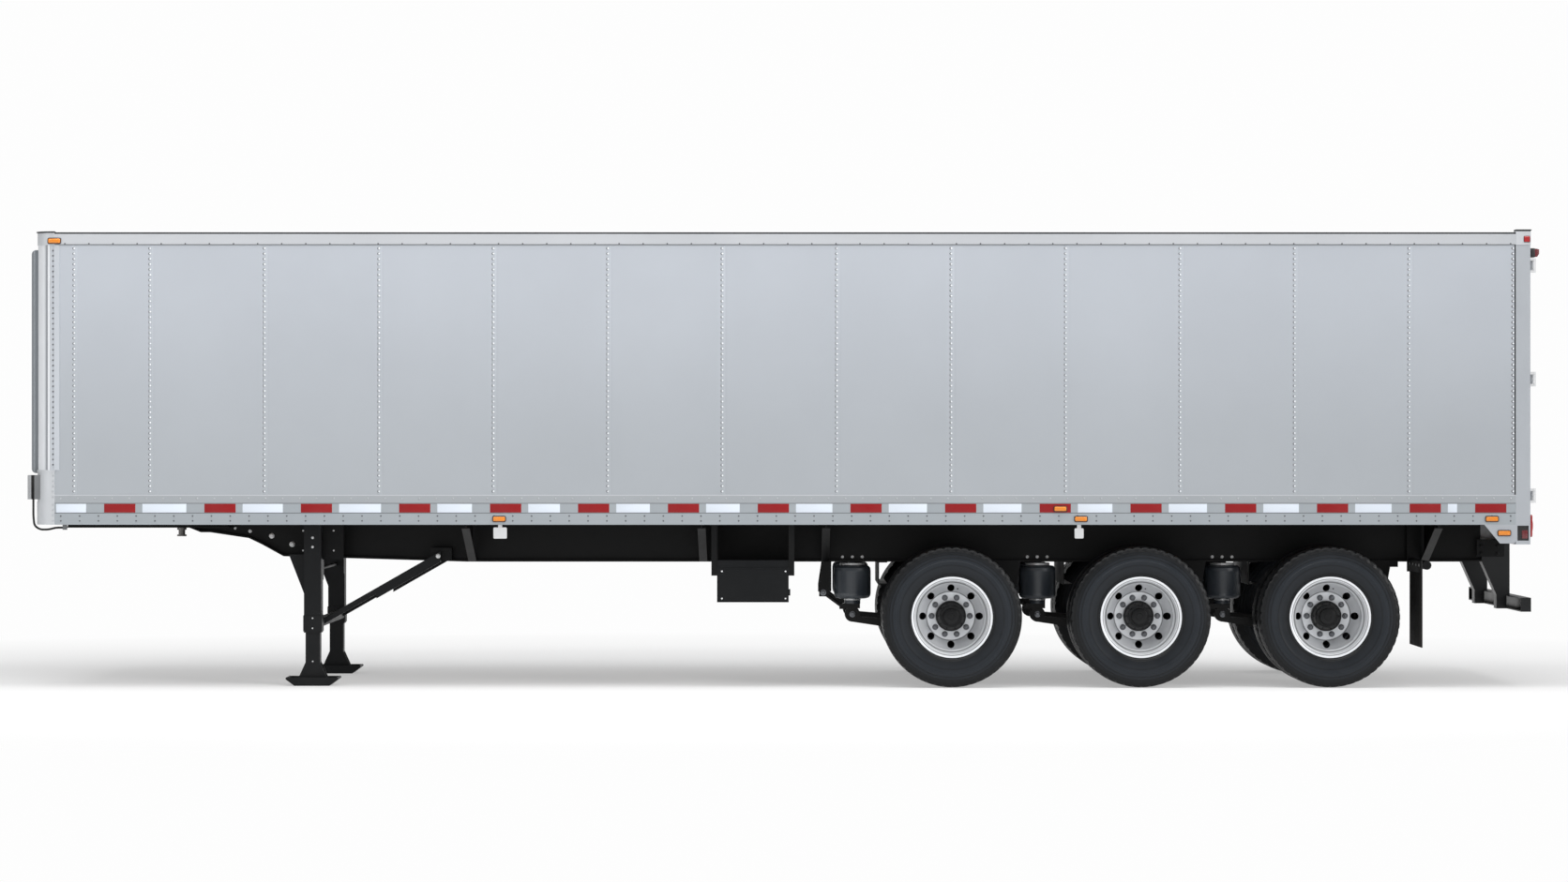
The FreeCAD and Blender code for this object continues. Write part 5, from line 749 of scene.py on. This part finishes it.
def plate(bm, at, normal, size, corner, rings, turn=0.0):
    """A rounded rectangle that rises from a face in rings of (inset, height)."""
    normal = Vector(normal)
    across = UP.cross(normal) if abs(normal.z) < 0.5 else Vector((1, 0, 0))
    across = Matrix.Rotation(turn, 3, normal) @ across
    along = normal.cross(across)
    loops = []
    for inset, height in rings:
        half_u, half_v = size[0] / 2 - inset, size[1] / 2 - inset
        bend = max(min(corner - inset, half_u, half_v), 0.0002)
        loop = []
        for quarter, (sign_u, sign_v) in enumerate(((1, 1), (-1, 1), (-1, -1), (1, -1))):
            for step in range(4):
                angle = radians(90 * quarter + 30 * step)
                u = sign_u * (half_u - bend) + bend * cos(angle)
                v = sign_v * (half_v - bend) + bend * sin(angle)
                loop.append(bm.verts.new(Vector(at) + across * u + along * v + normal * height))
        loops.append(loop)
    skin(bm, loops)


def upright(bm, side, x, lift, width, corner, rings):
    """An upright strip over the whole bare height of a side wall."""
    plate(bm, (x, side * (WALL_FACE + lift), (FLANGE_TOP + WALL_TOP) / 2), (0, side, 0),
          (WALL_TOP - FLANGE_TOP, width), corner, rings, pi / 2)


def lap_strips(bm, side):
    """The lapped edge of each side panel, 1.2 mm proud."""
    for seam in seams:
        upright(bm, side, seam + 0.004, 0, 0.034, 0.001, [(0, 0), (0, 0.0009), (0.0006, 0.0012)])


def end_seal(bm, side):
    """Black sealant in the joint between the side wall and the rear post."""
    upright(bm, side, wall_high.x - 0.002, 0.001, 0.013, 0.002,
            [(0, 0), (0, 0.002), (0.002, 0.0035)])


def up_row(x, y, low, high, facing):
    """An upright row of rivets: start, end, facing."""
    return (x, y, low), (x, y, high), facing


def seam_rows(shift):
    """The columns of rivets down the seams and at the walls' rear ends."""
    return [up_row(seam + shift, side * (WALL_FACE + 0.001), 1.462, WALL_TOP - 0.026, (0, side, 0))
            for seam in seams + [END_ROW] for side in (-1, 1)]


WALL_LOW = (0.425, 0.452, 0.482)
wall_alloy = finish(
    "wall_sheet", WALL_LOW, WALL_LOW, 0.0, 3.4, 0.045, 0.7, 0.0, 200, (0.36, 0.46), 0.3, 0.0)
tree = wall_alloy.node_tree
spot, place = own_place(tree)
# Painted light: the sheet turns lighter and a little bluer towards the top, a painted reflection of
# the bright sky.
cover(wall_alloy, (0.53, 0.563, 0.612),
      ranged(tree, place["Z"], wall_low.z, wall_high.z, way="SMOOTHSTEP"))
# Between two seams the sheet bows a little, and it dips at the rivets.
bow = maths(tree, "PINGPONG", maths(tree, "SUBTRACT", place["X"], FIRST_SEAM), PANEL / 2)
dip = ranged(tree, bow, 0.0, 0.045, way="SMOOTHSTEP")
wave = node(tree, "ShaderNodeTexNoise", {"Vector": spot, "Scale": 1.3, "Detail": 2.0})
relief(tree, maths(tree, "MULTIPLY_ADD", wave.outputs["Fac"], 2.0, dip), 0.0016)
dress(wall_alloy, "side_wall_left", "side_wall_right", "front_wall")
pair("wall_laps", wall_alloy, lap_strips)
sealant = finish(
    "sealant", (0.008, 0.009, 0.011), (0.05, 0.048, 0.045), 0.15, 3.4, rough=(0.4, 0.6))
pair("end_seals", sealant, end_seal)
# Painted shade and highlight at the seams: a dark disc a little ahead of each rivet is a painted
# shadow on its front side, and the heads are a bright copy of the rivet finish, a painted
# highlight.
ring_painted_shade = finish(
    "rivet_painted_shade", (0.12, 0.126, 0.138), (0.16, 0.155, 0.15), 0.3, 3.4, 0.2, 6, 0.3, 300,
    (0.45, 0.6), 0.2, 0.0002)
bright_rivet = finish(
    "bright_rivets", (0.86, 0.885, 0.92), (0.5, 0.49, 0.47), 0.2, 1.6, 0.05, 3, 0.2, 500,
    (0.25, 0.36), 0.3, 0.0001)
rivets("seam_rings", ring_painted_shade, seam_rows(-0.0035), 0.0385, 0.0105, 0.0018)
rivets("seam_rivets", bright_rivet, seam_rows(0), 0.0385, 0.0078, 0.0052)
dress(finish(
    "roof_sheet", (0.36, 0.38, 0.405), (0.25, 0.25, 0.24), 0.3, 4.5, 0.1, 0.8, 0.2, 200,
    (0.55, 0.68), 0.0, 0.0002, shine=0.25), "roof", "roof_bows")
ROOF_BOWS, BOW_HALF = 17, 0.03
roof_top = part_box("roof")[1].z
bows_low, bows_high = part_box("roof_bows")
roof_rows = []
for i in range(ROOF_BOWS):
    x = bows_low.x + BOW_HALF + (bows_high.x - bows_low.x - 2 * BOW_HALF) * i / (ROOF_BOWS - 1)
    roof_rows.append(((x, -1.2, roof_top), (x, 1.2, roof_top), (0, 0, 1)))
for side in (-1, 1):
    roof_rows.append(((-5.47, side * 1.225, roof_top), (5.4, side * 1.225, roof_top), (0, 0, 1)))
rivets("roof_rivets", rivet_steel, roof_rows, 0.08, 0.006, 0.0025)
dress(finish(
    "hardwood", (0.23, 0.125, 0.06), (0.11, 0.075, 0.05), 0.5, 2.4, 0.25, 3.5, 0.5, 90,
    (0.45, 0.65), 0.0, 0.0008), "floor")

# ---- front end
# Cast corner posts round the nose, a smooth painted fairing between them, a flange strip of
# rivets behind each post, and the connector box with its cable.
casting = finish(
    "casting_alloy", (0.56, 0.58, 0.605), (0.34, 0.33, 0.31), 0.3, 1.8, 0.14, 1.4, 0.5, 190,
    (0.42, 0.6), 0.3, 0.0005)
zones(casting, "Z", [(3.3815, EDGE_GREY)])
dress(casting, "corner_castings", "rear_sill")
# Painted highlight and shade down the corner posts: a bright band on the rounded front, a dark line
# of painted shade in the groove behind it, then lighter and darker strips up to the rivet column.
corner_alloy = finish(
    "corner_alloy", (0.62, 0.64, 0.665), (0.34, 0.33, 0.31), 0.2, 1.8, 0.12, 1.4, 0.4, 190,
    (0.36, 0.5), 0.15, 0.0004)
zones(corner_alloy, "X", [
    (-5.6, (0.6, 0.62, 0.645)), (-5.54, (0.74, 0.76, 0.79)), (-5.484, (0.52, 0.54, 0.57)),
    (-5.474, (0.24, 0.25, 0.27)), (-5.459, (0.7, 0.72, 0.75)), (-5.442, (0.38, 0.4, 0.42)),
    (-5.438, (0.53, 0.56, 0.6)), (-5.3, (0.62, 0.64, 0.665))])
dress(corner_alloy, "corner_posts")
post_alloy = finish(
    "post_alloy", (0.45, 0.476, 0.51), (0.3, 0.29, 0.27), 0.35, 1.8, 0.12, 1.4, 0.5, 190,
    (0.4, 0.56), 0.3, 0.0004)
# Painted light: the heads of the rear posts are lighter like the top rails, with a dark band along
# their top edge.
zones(post_alloy, "Z", [(3.293, (0.6, 0.62, 0.65)), (3.3935, EDGE_GREY)])
dress(post_alloy, "rear_posts")
dress(finish(
    "fairing_grey", (0.22, 0.24, 0.26), (0.23, 0.225, 0.215), 0.2, 2.2, 0.08, 1.2, 0.2, 240,
    (0.32, 0.45), 0.2, 0.0001), "nose_fairing")
COLUMN_X = -5.418
corner_rows, casting_rows = [], []
for side in (-1, 1):
    corner_rows += [up_row(COLUMN_X, side * 1.295, 1.66, 3.25, (0, side, 0)),
                    up_row(-5.551, side * 1.124, 1.46, 3.26, (-1, 0, 0))]
    casting_rows += [up_row(COLUMN_X, side * 1.299, 1.245, 1.365, (0, side, 0)),
                     up_row(COLUMN_X, side * 1.295, 1.42, 1.58, (0, side, 0))]
rivets("nose_rivets", shaded_rivet, corner_rows, 0.0385, 0.0065, 0.0032)
rivets("casting_rivets", rivet_steel, casting_rows, 0.04, 0.009, 0.004)
box_grey = finish(
    "connector_alloy", (0.4, 0.41, 0.425), (0.24, 0.23, 0.21), 0.35, 1.8, 0.1, 5, 0.3, 260,
    (0.35, 0.5), 0.6, 0.0003)
zones(box_grey, "X", [(-5.589, (0.008, 0.008, 0.009)), (-5.566, (0.22, 0.228, 0.238))])
dress(box_grey, "connection_box")
dress(finish(
    "cable_sheath", (0.005, 0.005, 0.0056), (0.04, 0.038, 0.035), 0.2, 1.6, 0.1, 8, 0.3, 400,
    (0.35, 0.5), 0.0, 0.0002), "connection_cable")

# ---- reflective tape and plates
# Red and white retroreflective tape in turn, with bare gaps along the rail and end to end along
# the guard bar, and blank white plates with rounded corners.
RED_AT = [-5.039, -4.295, -3.579, -2.85, -2.175, -1.522, -0.855, -0.188, 0.5, 1.202, 1.904,
          2.578, 3.28, 3.962, 4.65, 5.136]
RED_LONG, WHITE_AFTER, BARE, WHITE_START = 0.232, 0.052, 0.134, -5.395
TAPE_LOW, TAPE_HIGH, TAPE_RINGS = 1.3045, 1.3695, [(0, 0), (0, 0.0004), (0.0004, 0.0006)]
BAR_START, BAR_STEP, BAR_STRIPS = -1.05, 0.3, 8
bar_back, bar_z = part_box("underride_bar")[1].x, centre("underride_bar")[2]
SIGN_RINGS, HANGER_RINGS = [(0, -0.002), (0, 0.0015), (0.001, 0.0025)], [(0, -0.002), (0, 0.001)]
# Signs of one side and the hangers behind them: place, size, corner, rings.
SIGNS = [((-2.1, 1.288, 1.1525), (0.1, 0.083), 0.008, SIGN_RINGS),
         ((2.1975, 1.288, 1.15), (0.067, 0.076), 0.008, SIGN_RINGS),
         ((-2.1, 1.285, 1.17), (0.03, 0.11), 0.004, HANGER_RINGS),
         ((2.1975, 1.285, 1.17), (0.03, 0.11), 0.004, HANGER_RINGS)]


def tape_finish(name, colour, line):
    """Prism tape: the colour under a fine honeycomb of pale cell walls."""
    material = finish(name, colour, (0.3, 0.28, 0.25), 0.12, 1.5, 0.05, 3, 0.0, 200, (0.42, 0.5),
                      0.0, 0.0, shine=0.2)
    tree = material.node_tree
    cells = node(tree, "ShaderNodeTexVoronoi", {
        "Vector": own_place(tree)[0], "Scale": 190, "Randomness": 0.15},
        feature="DISTANCE_TO_EDGE")
    cover(material, line, ranged(tree, cells.outputs["Distance"], 0.0, 0.09, 0.55, 0.0))
    return material


def strips(runs):
    """Builder of one colour of tape along both rails, from (start, end) runs."""
    def build(bm, side):
        for start, end in runs:
            middle = (start + end) / 2, side * (RAIL_FACE - 0.002), (TAPE_LOW + TAPE_HIGH) / 2
            plate(bm, middle, (0, side, 0), (end - start, TAPE_HIGH - TAPE_LOW), 0.0015, TAPE_RINGS)
    return build


def guard_tape(start):
    """Builder of one colour of the tape on the back of the guard bar."""
    def build(bm):
        for i in range(start, BAR_STRIPS, 2):
            plate(bm, (bar_back, BAR_START + BAR_STEP * i, bar_z), (1, 0, 0), (0.294, 0.05), 0.0015,
                  TAPE_RINGS)
    return build


def side_plates(bm, side, table):
    """Plates that face out of one side: place, size, corner, rings."""
    for (x, y, z), size, corner, rings in table:
        plate(bm, (x, side * y, z), (0, side, 0), size, corner, rings)


def number_plate(bm):
    """The blank number plate with its raised rim."""
    plate(bm, (5.546, -0.32, 1.225), (1, 0, 0), (0.305, 0.155), 0.012,
          [(0, 0), (0, 0.0012), (0.0012, 0.0024), (0.01, 0.0024), (0.0115, 0.0016)])


red_tape = tape_finish("red_tape", (0.27, 0.008, 0.011), (0.32, 0.016, 0.02))
white_tape = tape_finish("white_tape", (0.72, 0.78, 0.86), (0.6, 0.65, 0.72))
red_runs = [(at, at + RED_LONG) for at in RED_AT]
white_runs = [(WHITE_START, RED_AT[0] - BARE)] + [
    (end + WHITE_AFTER, start - BARE) for (_, end), (start, _) in zip(red_runs, red_runs[1:])]
pair("red_tape_strips", red_tape, strips(red_runs))
pair("white_tape_strips", white_tape, strips(white_runs))
piece("guard_tape_red", red_tape, guard_tape(0))
piece("guard_tape_white", white_tape, guard_tape(1))
blank_white = finish(
    "blank_plate", (0.62, 0.63, 0.64), (0.35, 0.33, 0.3), 0.25, 1.5, 0.04, 6, 0.1, 300, (0.3, 0.4),
    0.0, 0.0001, 0.2)
pair("blank_plates", blank_white, lambda bm, side: side_plates(bm, side, SIGNS))
piece("blank_number_plate", blank_white, number_plate)

# ---- lamps
# Amber lamps at the front and along the side, red ones at the rear: a black rubber bezel or
# back, and a ribbed lens that stands out of it.
LAMP_LONG, LAMP_TALL, RIM = 0.102, 0.046, 0.012
SIDE_LAMPS = [(-5.408, 1.295, 3.322), (-2.107, 1.295, 1.257), (2.211, 1.295, 1.257),
              (5.261, 1.295, 1.257), (5.352, 1.295, 1.152), (2.058, 1.293, 1.332)]
BEZEL = [(0, -0.001), (0, 0.005), (0.0015, 0.0068), (0.005, 0.0072), (0.0055, 0.0055)]
DOME = [(0, 0), (0, 0.008), (0.0012, 0.0125), (0.0045, 0.0165), (0.009, 0.0185)]
REAR_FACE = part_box("rear_posts")[1].x
TAIL_Y, TAIL_Z, HEADER_Y, HEADER_Z = 1.08, 1.2035, (0.0, 0.16), 3.333
HEAD_LAMP, POCKET = (5.52, 1.295, 3.335), (5.492, 1.284, 1.1515)
ROUND = [(0, 0.0535), (0.003, 0.0535), (0.0055, 0.051), (0.0085, 0.04), (0.0105, 0.022),
         (0.011, 0.003)]
# Wedge lamp behind the post's head: place along the van, inset, rise of its chin.
WEDGE = ((5.5735, 0.002, 0.0), (5.582, 0.003, 0.0), (5.598, 0.004, 0.0), (5.6145, 0.008, 0.018))
WEDGE_IN, WEDGE_OUT, WEDGE_LOW, WEDGE_TOP = 1.215, 1.285, 3.2, 3.268


def lens_finish(name, colour):
    """Moulded lens: slanting ribs under a clear skin."""
    material = finish(name, colour, (0.2, 0.16, 0.12), 0.15, 3.6, 0.05, 6, 0.0, 300, (0.1, 0.2),
                      0.0, 0.0, 0.6)
    tree = material.node_tree
    ribs = node(tree, "ShaderNodeTexWave", {"Vector": own_place(tree)[0], "Scale": 42},
                bands_direction="DIAGONAL")
    relief(tree, ribs.outputs["Fac"], 0.0006)
    return material


def side_lamps(margin, corner, rings):
    """Builder of one layer of the lamps along one side."""
    size = (LAMP_LONG - margin, LAMP_TALL - margin)
    return lambda bm, side: side_plates(bm, side, [(at, size, corner, rings) for at in SIDE_LAMPS])


def rear_plate(bm, side, y, z, lift, size, corner, rings):
    """A plate on the back of the rear frame."""
    plate(bm, (REAR_FACE + lift, side * y, z), (1, 0, 0), size, corner, rings)


def tail_bezels(bm, side):
    """Black backs of one side's rear lamps, and the lined pocket in the post."""
    rear_plate(bm, side, TAIL_Y, TAIL_Z, 0, (0.25, 0.173), 0.02,
               [(0, 0), (0, 0.008), (0.002, 0.009)])
    for y in HEADER_Y:
        rear_plate(bm, side, y, HEADER_Z, 0, (0.09, 0.028), 0.008,
                   [(0, 0), (0, 0.0015), (0.001, 0.0022)])
    rear_plate(bm, side, 1.25, 3.234, 0, (0.07, 0.068), 0.006, [(0, 0), (0, 0.024), (0.002, 0.028)])
    side_plates(bm, side, [
        (HEAD_LAMP, (0.048, 0.048), 0.006, [(0, -0.001), (0, 0.004), (0.0015, 0.006)]),
        (POCKET, (0.083, 0.11), 0.003, [(0, 0), (0, 0.0015), (0.001, 0.002)])])


def tail_lenses(bm, side):
    """Red lenses: the tail lamp with its two rounds, the header and head lamps."""
    rear_plate(bm, side, TAIL_Y, TAIL_Z, 0.008, (0.244, 0.167), 0.018,
               [(0, 0), (0, 0.012), (0.003, 0.016), (0.008, 0.017)])
    for y in (1.017, 1.143):
        turned(bm, (REAR_FACE + 0.023, side * y, TAIL_Z), (1, 0, 0), ROUND, 40)
    for y in HEADER_Y:
        rear_plate(bm, side, y, HEADER_Z, 0.001, (0.08, 0.02), 0.006,
                   [(0, 0), (0, 0.0025), (0.003, 0.004)])
    side_plates(bm, side, [
        (HEAD_LAMP, (0.042, 0.042), 0.005, [(0, 0), (0, 0.009), (0.006, 0.013)])])


def dark_lenses(bm, side):
    """Darker red lenses: the lamp in the post's pocket and the wedge behind its head."""
    side_plates(bm, side, [
        ((5.506, 1.285, 1.142), (0.044, 0.062), 0.005, [(0, 0), (0, 0.006), (0.005, 0.009)])])
    loops = []
    for x, inset, chin in WEDGE:
        near, far, low = WEDGE_IN + inset, WEDGE_OUT - inset, WEDGE_LOW + inset + chin
        loops.append([bm.verts.new((x, side * y, z)) for y, z in (
            (near, low), (far, low), (far, WEDGE_TOP - inset), (near, WEDGE_TOP - inset))])
    skin(bm, loops)


amber_lens = lens_finish("amber_lens", (0.8, 0.24, 0.006))
red_lens = lens_finish("red_lens", (0.42, 0.006, 0.01))
dark_red_lens = lens_finish("dark_red_lens", (0.13, 0.005, 0.011))
lamp_rubber = finish(
    "lamp_rubber", (0.015, 0.015, 0.016), (0.1, 0.09, 0.08), 0.3, 1.6, rough=(0.4, 0.6))
bezels = pair("side_lamp_bezels", lamp_rubber, side_lamps(0, RIM, BEZEL))
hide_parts("side_lamps")
pair("side_lenses", amber_lens, side_lamps(RIM, 0.008, DOME))
housings = pair("tail_housings", lamp_rubber, tail_bezels)
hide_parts("rear_lamps")
pair("tail_lenses", red_lens, tail_lenses)
pair("dark_lenses", dark_red_lens, dark_lenses)

# ---- toolbox and mud flaps
# A painted steel box with screws in its door's corners, hung on two bars with a folded angle
# between them; ribbed rubber flaps bolted under their tubes behind the last wheels.
box_black = finish(
    "toolbox_black", (0.0042, 0.005, 0.006), (0.04, 0.038, 0.035), 0.15, 1.2, 0.08, 2.2, 0.4, 240,
    (0.34, 0.46), shine=0.2)
dress(box_black, "toolbox")
flap_rubber = finish(
    "flap_rubber", (0.008, 0.008, 0.0085), (0.07, 0.064, 0.056), 0.4, 1.1, 0.12, 4, 0.5, 300,
    (0.5, 0.7), 0.0, 0.0006, shine=0.3)
dress(flap_rubber, "mud_flaps")
store_low, store_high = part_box("toolbox")
flap_low, flap_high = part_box("mud_flaps")
FLAP_INNER, FLAP_TOP, RIB_STEP = 0.67, 0.78, 0.05
CLAMP_Y, CLAMP_STEP, CLAMP_Z, SCREW_X, SCREW_Z = 0.745, 0.155, 0.912, 0.036, 0.028
FLAP_BOLT = [(0, 0.014), (0.002, 0.014), (0.0025, 0.01), (0.01, 0.01), (0.011, 0.008)]


def hanger_angle(bm):
    """Folded angle between the hanger bars, over the front edge of the toolbox."""
    for back, up, normal, wide in ((0.012, 0.026, (0, -1, 0), 0.058),
                                   (0.035, 0.052, (0, 0, 1), 0.05)):
        plate(bm, (centre("toolbox")[0], store_low.y + back, store_high.z + up), normal,
              (store_high.x - store_low.x, wide), 0.002, [(0, -0.003), (0, 0), (0.001, 0.001)])


def toolbox_fittings(bm):
    """Corner screws of the toolbox door."""
    for x in (store_low.x + SCREW_X, store_high.x - SCREW_X):
        for z in (store_low.z + SCREW_Z, store_high.z - SCREW_Z):
            turned(bm, (x, store_low.y + 0.001, z), (0, -1, 0),
                   [(0, 0.0065), (0.003, 0.0065), (0.0045, 0.004)], 12)


def flap_ribs(bm, side):
    """Upright moulded ribs on the back of one mud flap."""
    middle = side * (abs(flap_high.y) + FLAP_INNER) / 2
    for i in range(-5, 6):
        at = (flap_high.x, middle + RIB_STEP * i, (flap_low.z + 0.03 + FLAP_TOP) / 2)
        plate(bm, at, (1, 0, 0), (0.45, 0.012), 0.004, [(0, -0.001), (0, 0.0015), (0.002, 0.003)],
              pi / 2)


def flap_bolts(bm, side):
    """Four bolts through the clamp plate of one mud flap."""
    for i in range(4):
        at = (flap_low.x, side * (CLAMP_Y + CLAMP_STEP * i), CLAMP_Z)
        turned(bm, at, (-1, 0, 0), FLAP_BOLT, 6)


piece("toolbox_angle", box_black, hanger_angle)
piece("toolbox_fittings", zinc, toolbox_fittings)
pair("flap_ribs", flap_rubber, flap_ribs)
pair("flap_bolts", zinc, flap_bolts)

# ---- rear doors and guard plates
# Two insulated panels with rubber seals, zinc lock rods with cams, and steel hinges; each strap
# is held by six bolts through the door skin. Gussets hold the guard posts on the frame.
dress(finish(
    "door_sheet", (0.47, 0.49, 0.52), (0.36, 0.345, 0.32), 0.35, 2.6, 0.06, 0.8, 0.1, 200,
    (0.34, 0.46), 0.25, 0.0001), "door_left", "door_right")
dress(zinc, "door_left_straps", "door_right_straps", "door_left_locks", "door_right_locks",
      "hinge_brackets")
seal_rubber = finish(
    "seal_rubber", (0.014, 0.014, 0.0145), (0.1, 0.09, 0.08), 0.3, 2.4, rough=(0.5, 0.7))
DOOR_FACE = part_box("door_left")[1].x
HINGE_Z, STRAP_BOLT_Y, STRAP_BOLT_UP = (1.43, 2.295, 3.14), (1.0, 1.05, 1.15), (-0.014, 0.014)
SEAL_WIDE, ROW_INSET = 0.016, 0.034
GUSSET_BOLT = [(0, 0.016), (0.003, 0.016), (0.0035, 0.0125), (0.013, 0.0125), (0.015, 0.01)]


def guard_gussets(bm, side):
    """Plates on the frame webs that carry the guard posts, each with four bolts."""
    side_plates(bm, side, [
        ((5.365, 0.583, 1.024), (0.21, 0.132), 0.006, [(0, 0), (0, 0.007), (0.001, 0.008)])])
    for x in (5.295, 5.42):
        for z in (1.038, 0.982):
            turned(bm, (x, side * 0.591, z), (0, side, 0), GUSSET_BOLT, 6)


def door_seal(bm, side, low, high):
    """A flat lip seal round one door: four strips, mitred at the corners."""
    inner, outer = sorted((low.y, high.y), key=abs)
    outside, inside = [], []
    for x, taper in ((-0.006, 0.0), (0.0015, 0.0), (0.003, 0.003)):
        for inset, loops in ((taper, outside), (SEAL_WIDE - taper, inside)):
            loops.append([bm.verts.new((DOOR_FACE + x, y, z)) for y, z in (
                (inner + side * inset, low.z + inset), (outer - side * inset, low.z + inset),
                (outer - side * inset, high.z - inset), (inner + side * inset, high.z - inset))])
    ring = outside + inside[::-1]
    for first, second in zip(ring, ring[1:] + ring[:1]):
        for i in range(4):
            j = (i + 1) % 4
            bm.faces.new((first[i], first[j], second[j], second[i]))


def hinge_bolts(bm, side, face):
    """Bolt heads through the leaf of each hinge strap."""
    for z in HINGE_Z:
        for y in STRAP_BOLT_Y:
            for up in STRAP_BOLT_UP:
                turned(bm, (face, side * y, z + up), (1, 0, 0),
                       [(0, 0.0085), (0.002, 0.0085), (0.0045, 0.0055)], 12)


def door_rows(side, low, high):
    """Rivet rows round one door skin, inside its edge."""
    inner, outer = sorted((low.y, high.y), key=abs)
    inner, outer = inner + side * ROW_INSET, outer - side * ROW_INSET
    bottom, top, face = low.z + ROW_INSET, high.z - ROW_INSET, DOOR_FACE + 0.0002
    return [*(up_row(face, y, bottom, top, (1, 0, 0)) for y in (inner, outer)),
            *(((face, inner, z), (face, outer, z), (1, 0, 0)) for z in (bottom, top))]


pair("guard_gussets", chassis_black, guard_gussets)
for side_name, side in (("left", -1), ("right", 1)):
    door = f"door_{side_name}"
    low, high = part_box(door)
    strap_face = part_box(f"{door}_straps")[0].x + 0.008
    piece(f"door_seal_{side_name}", seal_rubber,
          lambda bm: door_seal(bm, side, low, high), door)
    piece(f"hinge_bolts_{side_name}", zinc,
          lambda bm: hinge_bolts(bm, side, strap_face), door)
    rivets(f"door_rivets_{side_name}", rivet_steel, door_rows(side, low, high),
           0.15, 0.0055, 0.0022, door)

low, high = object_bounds()
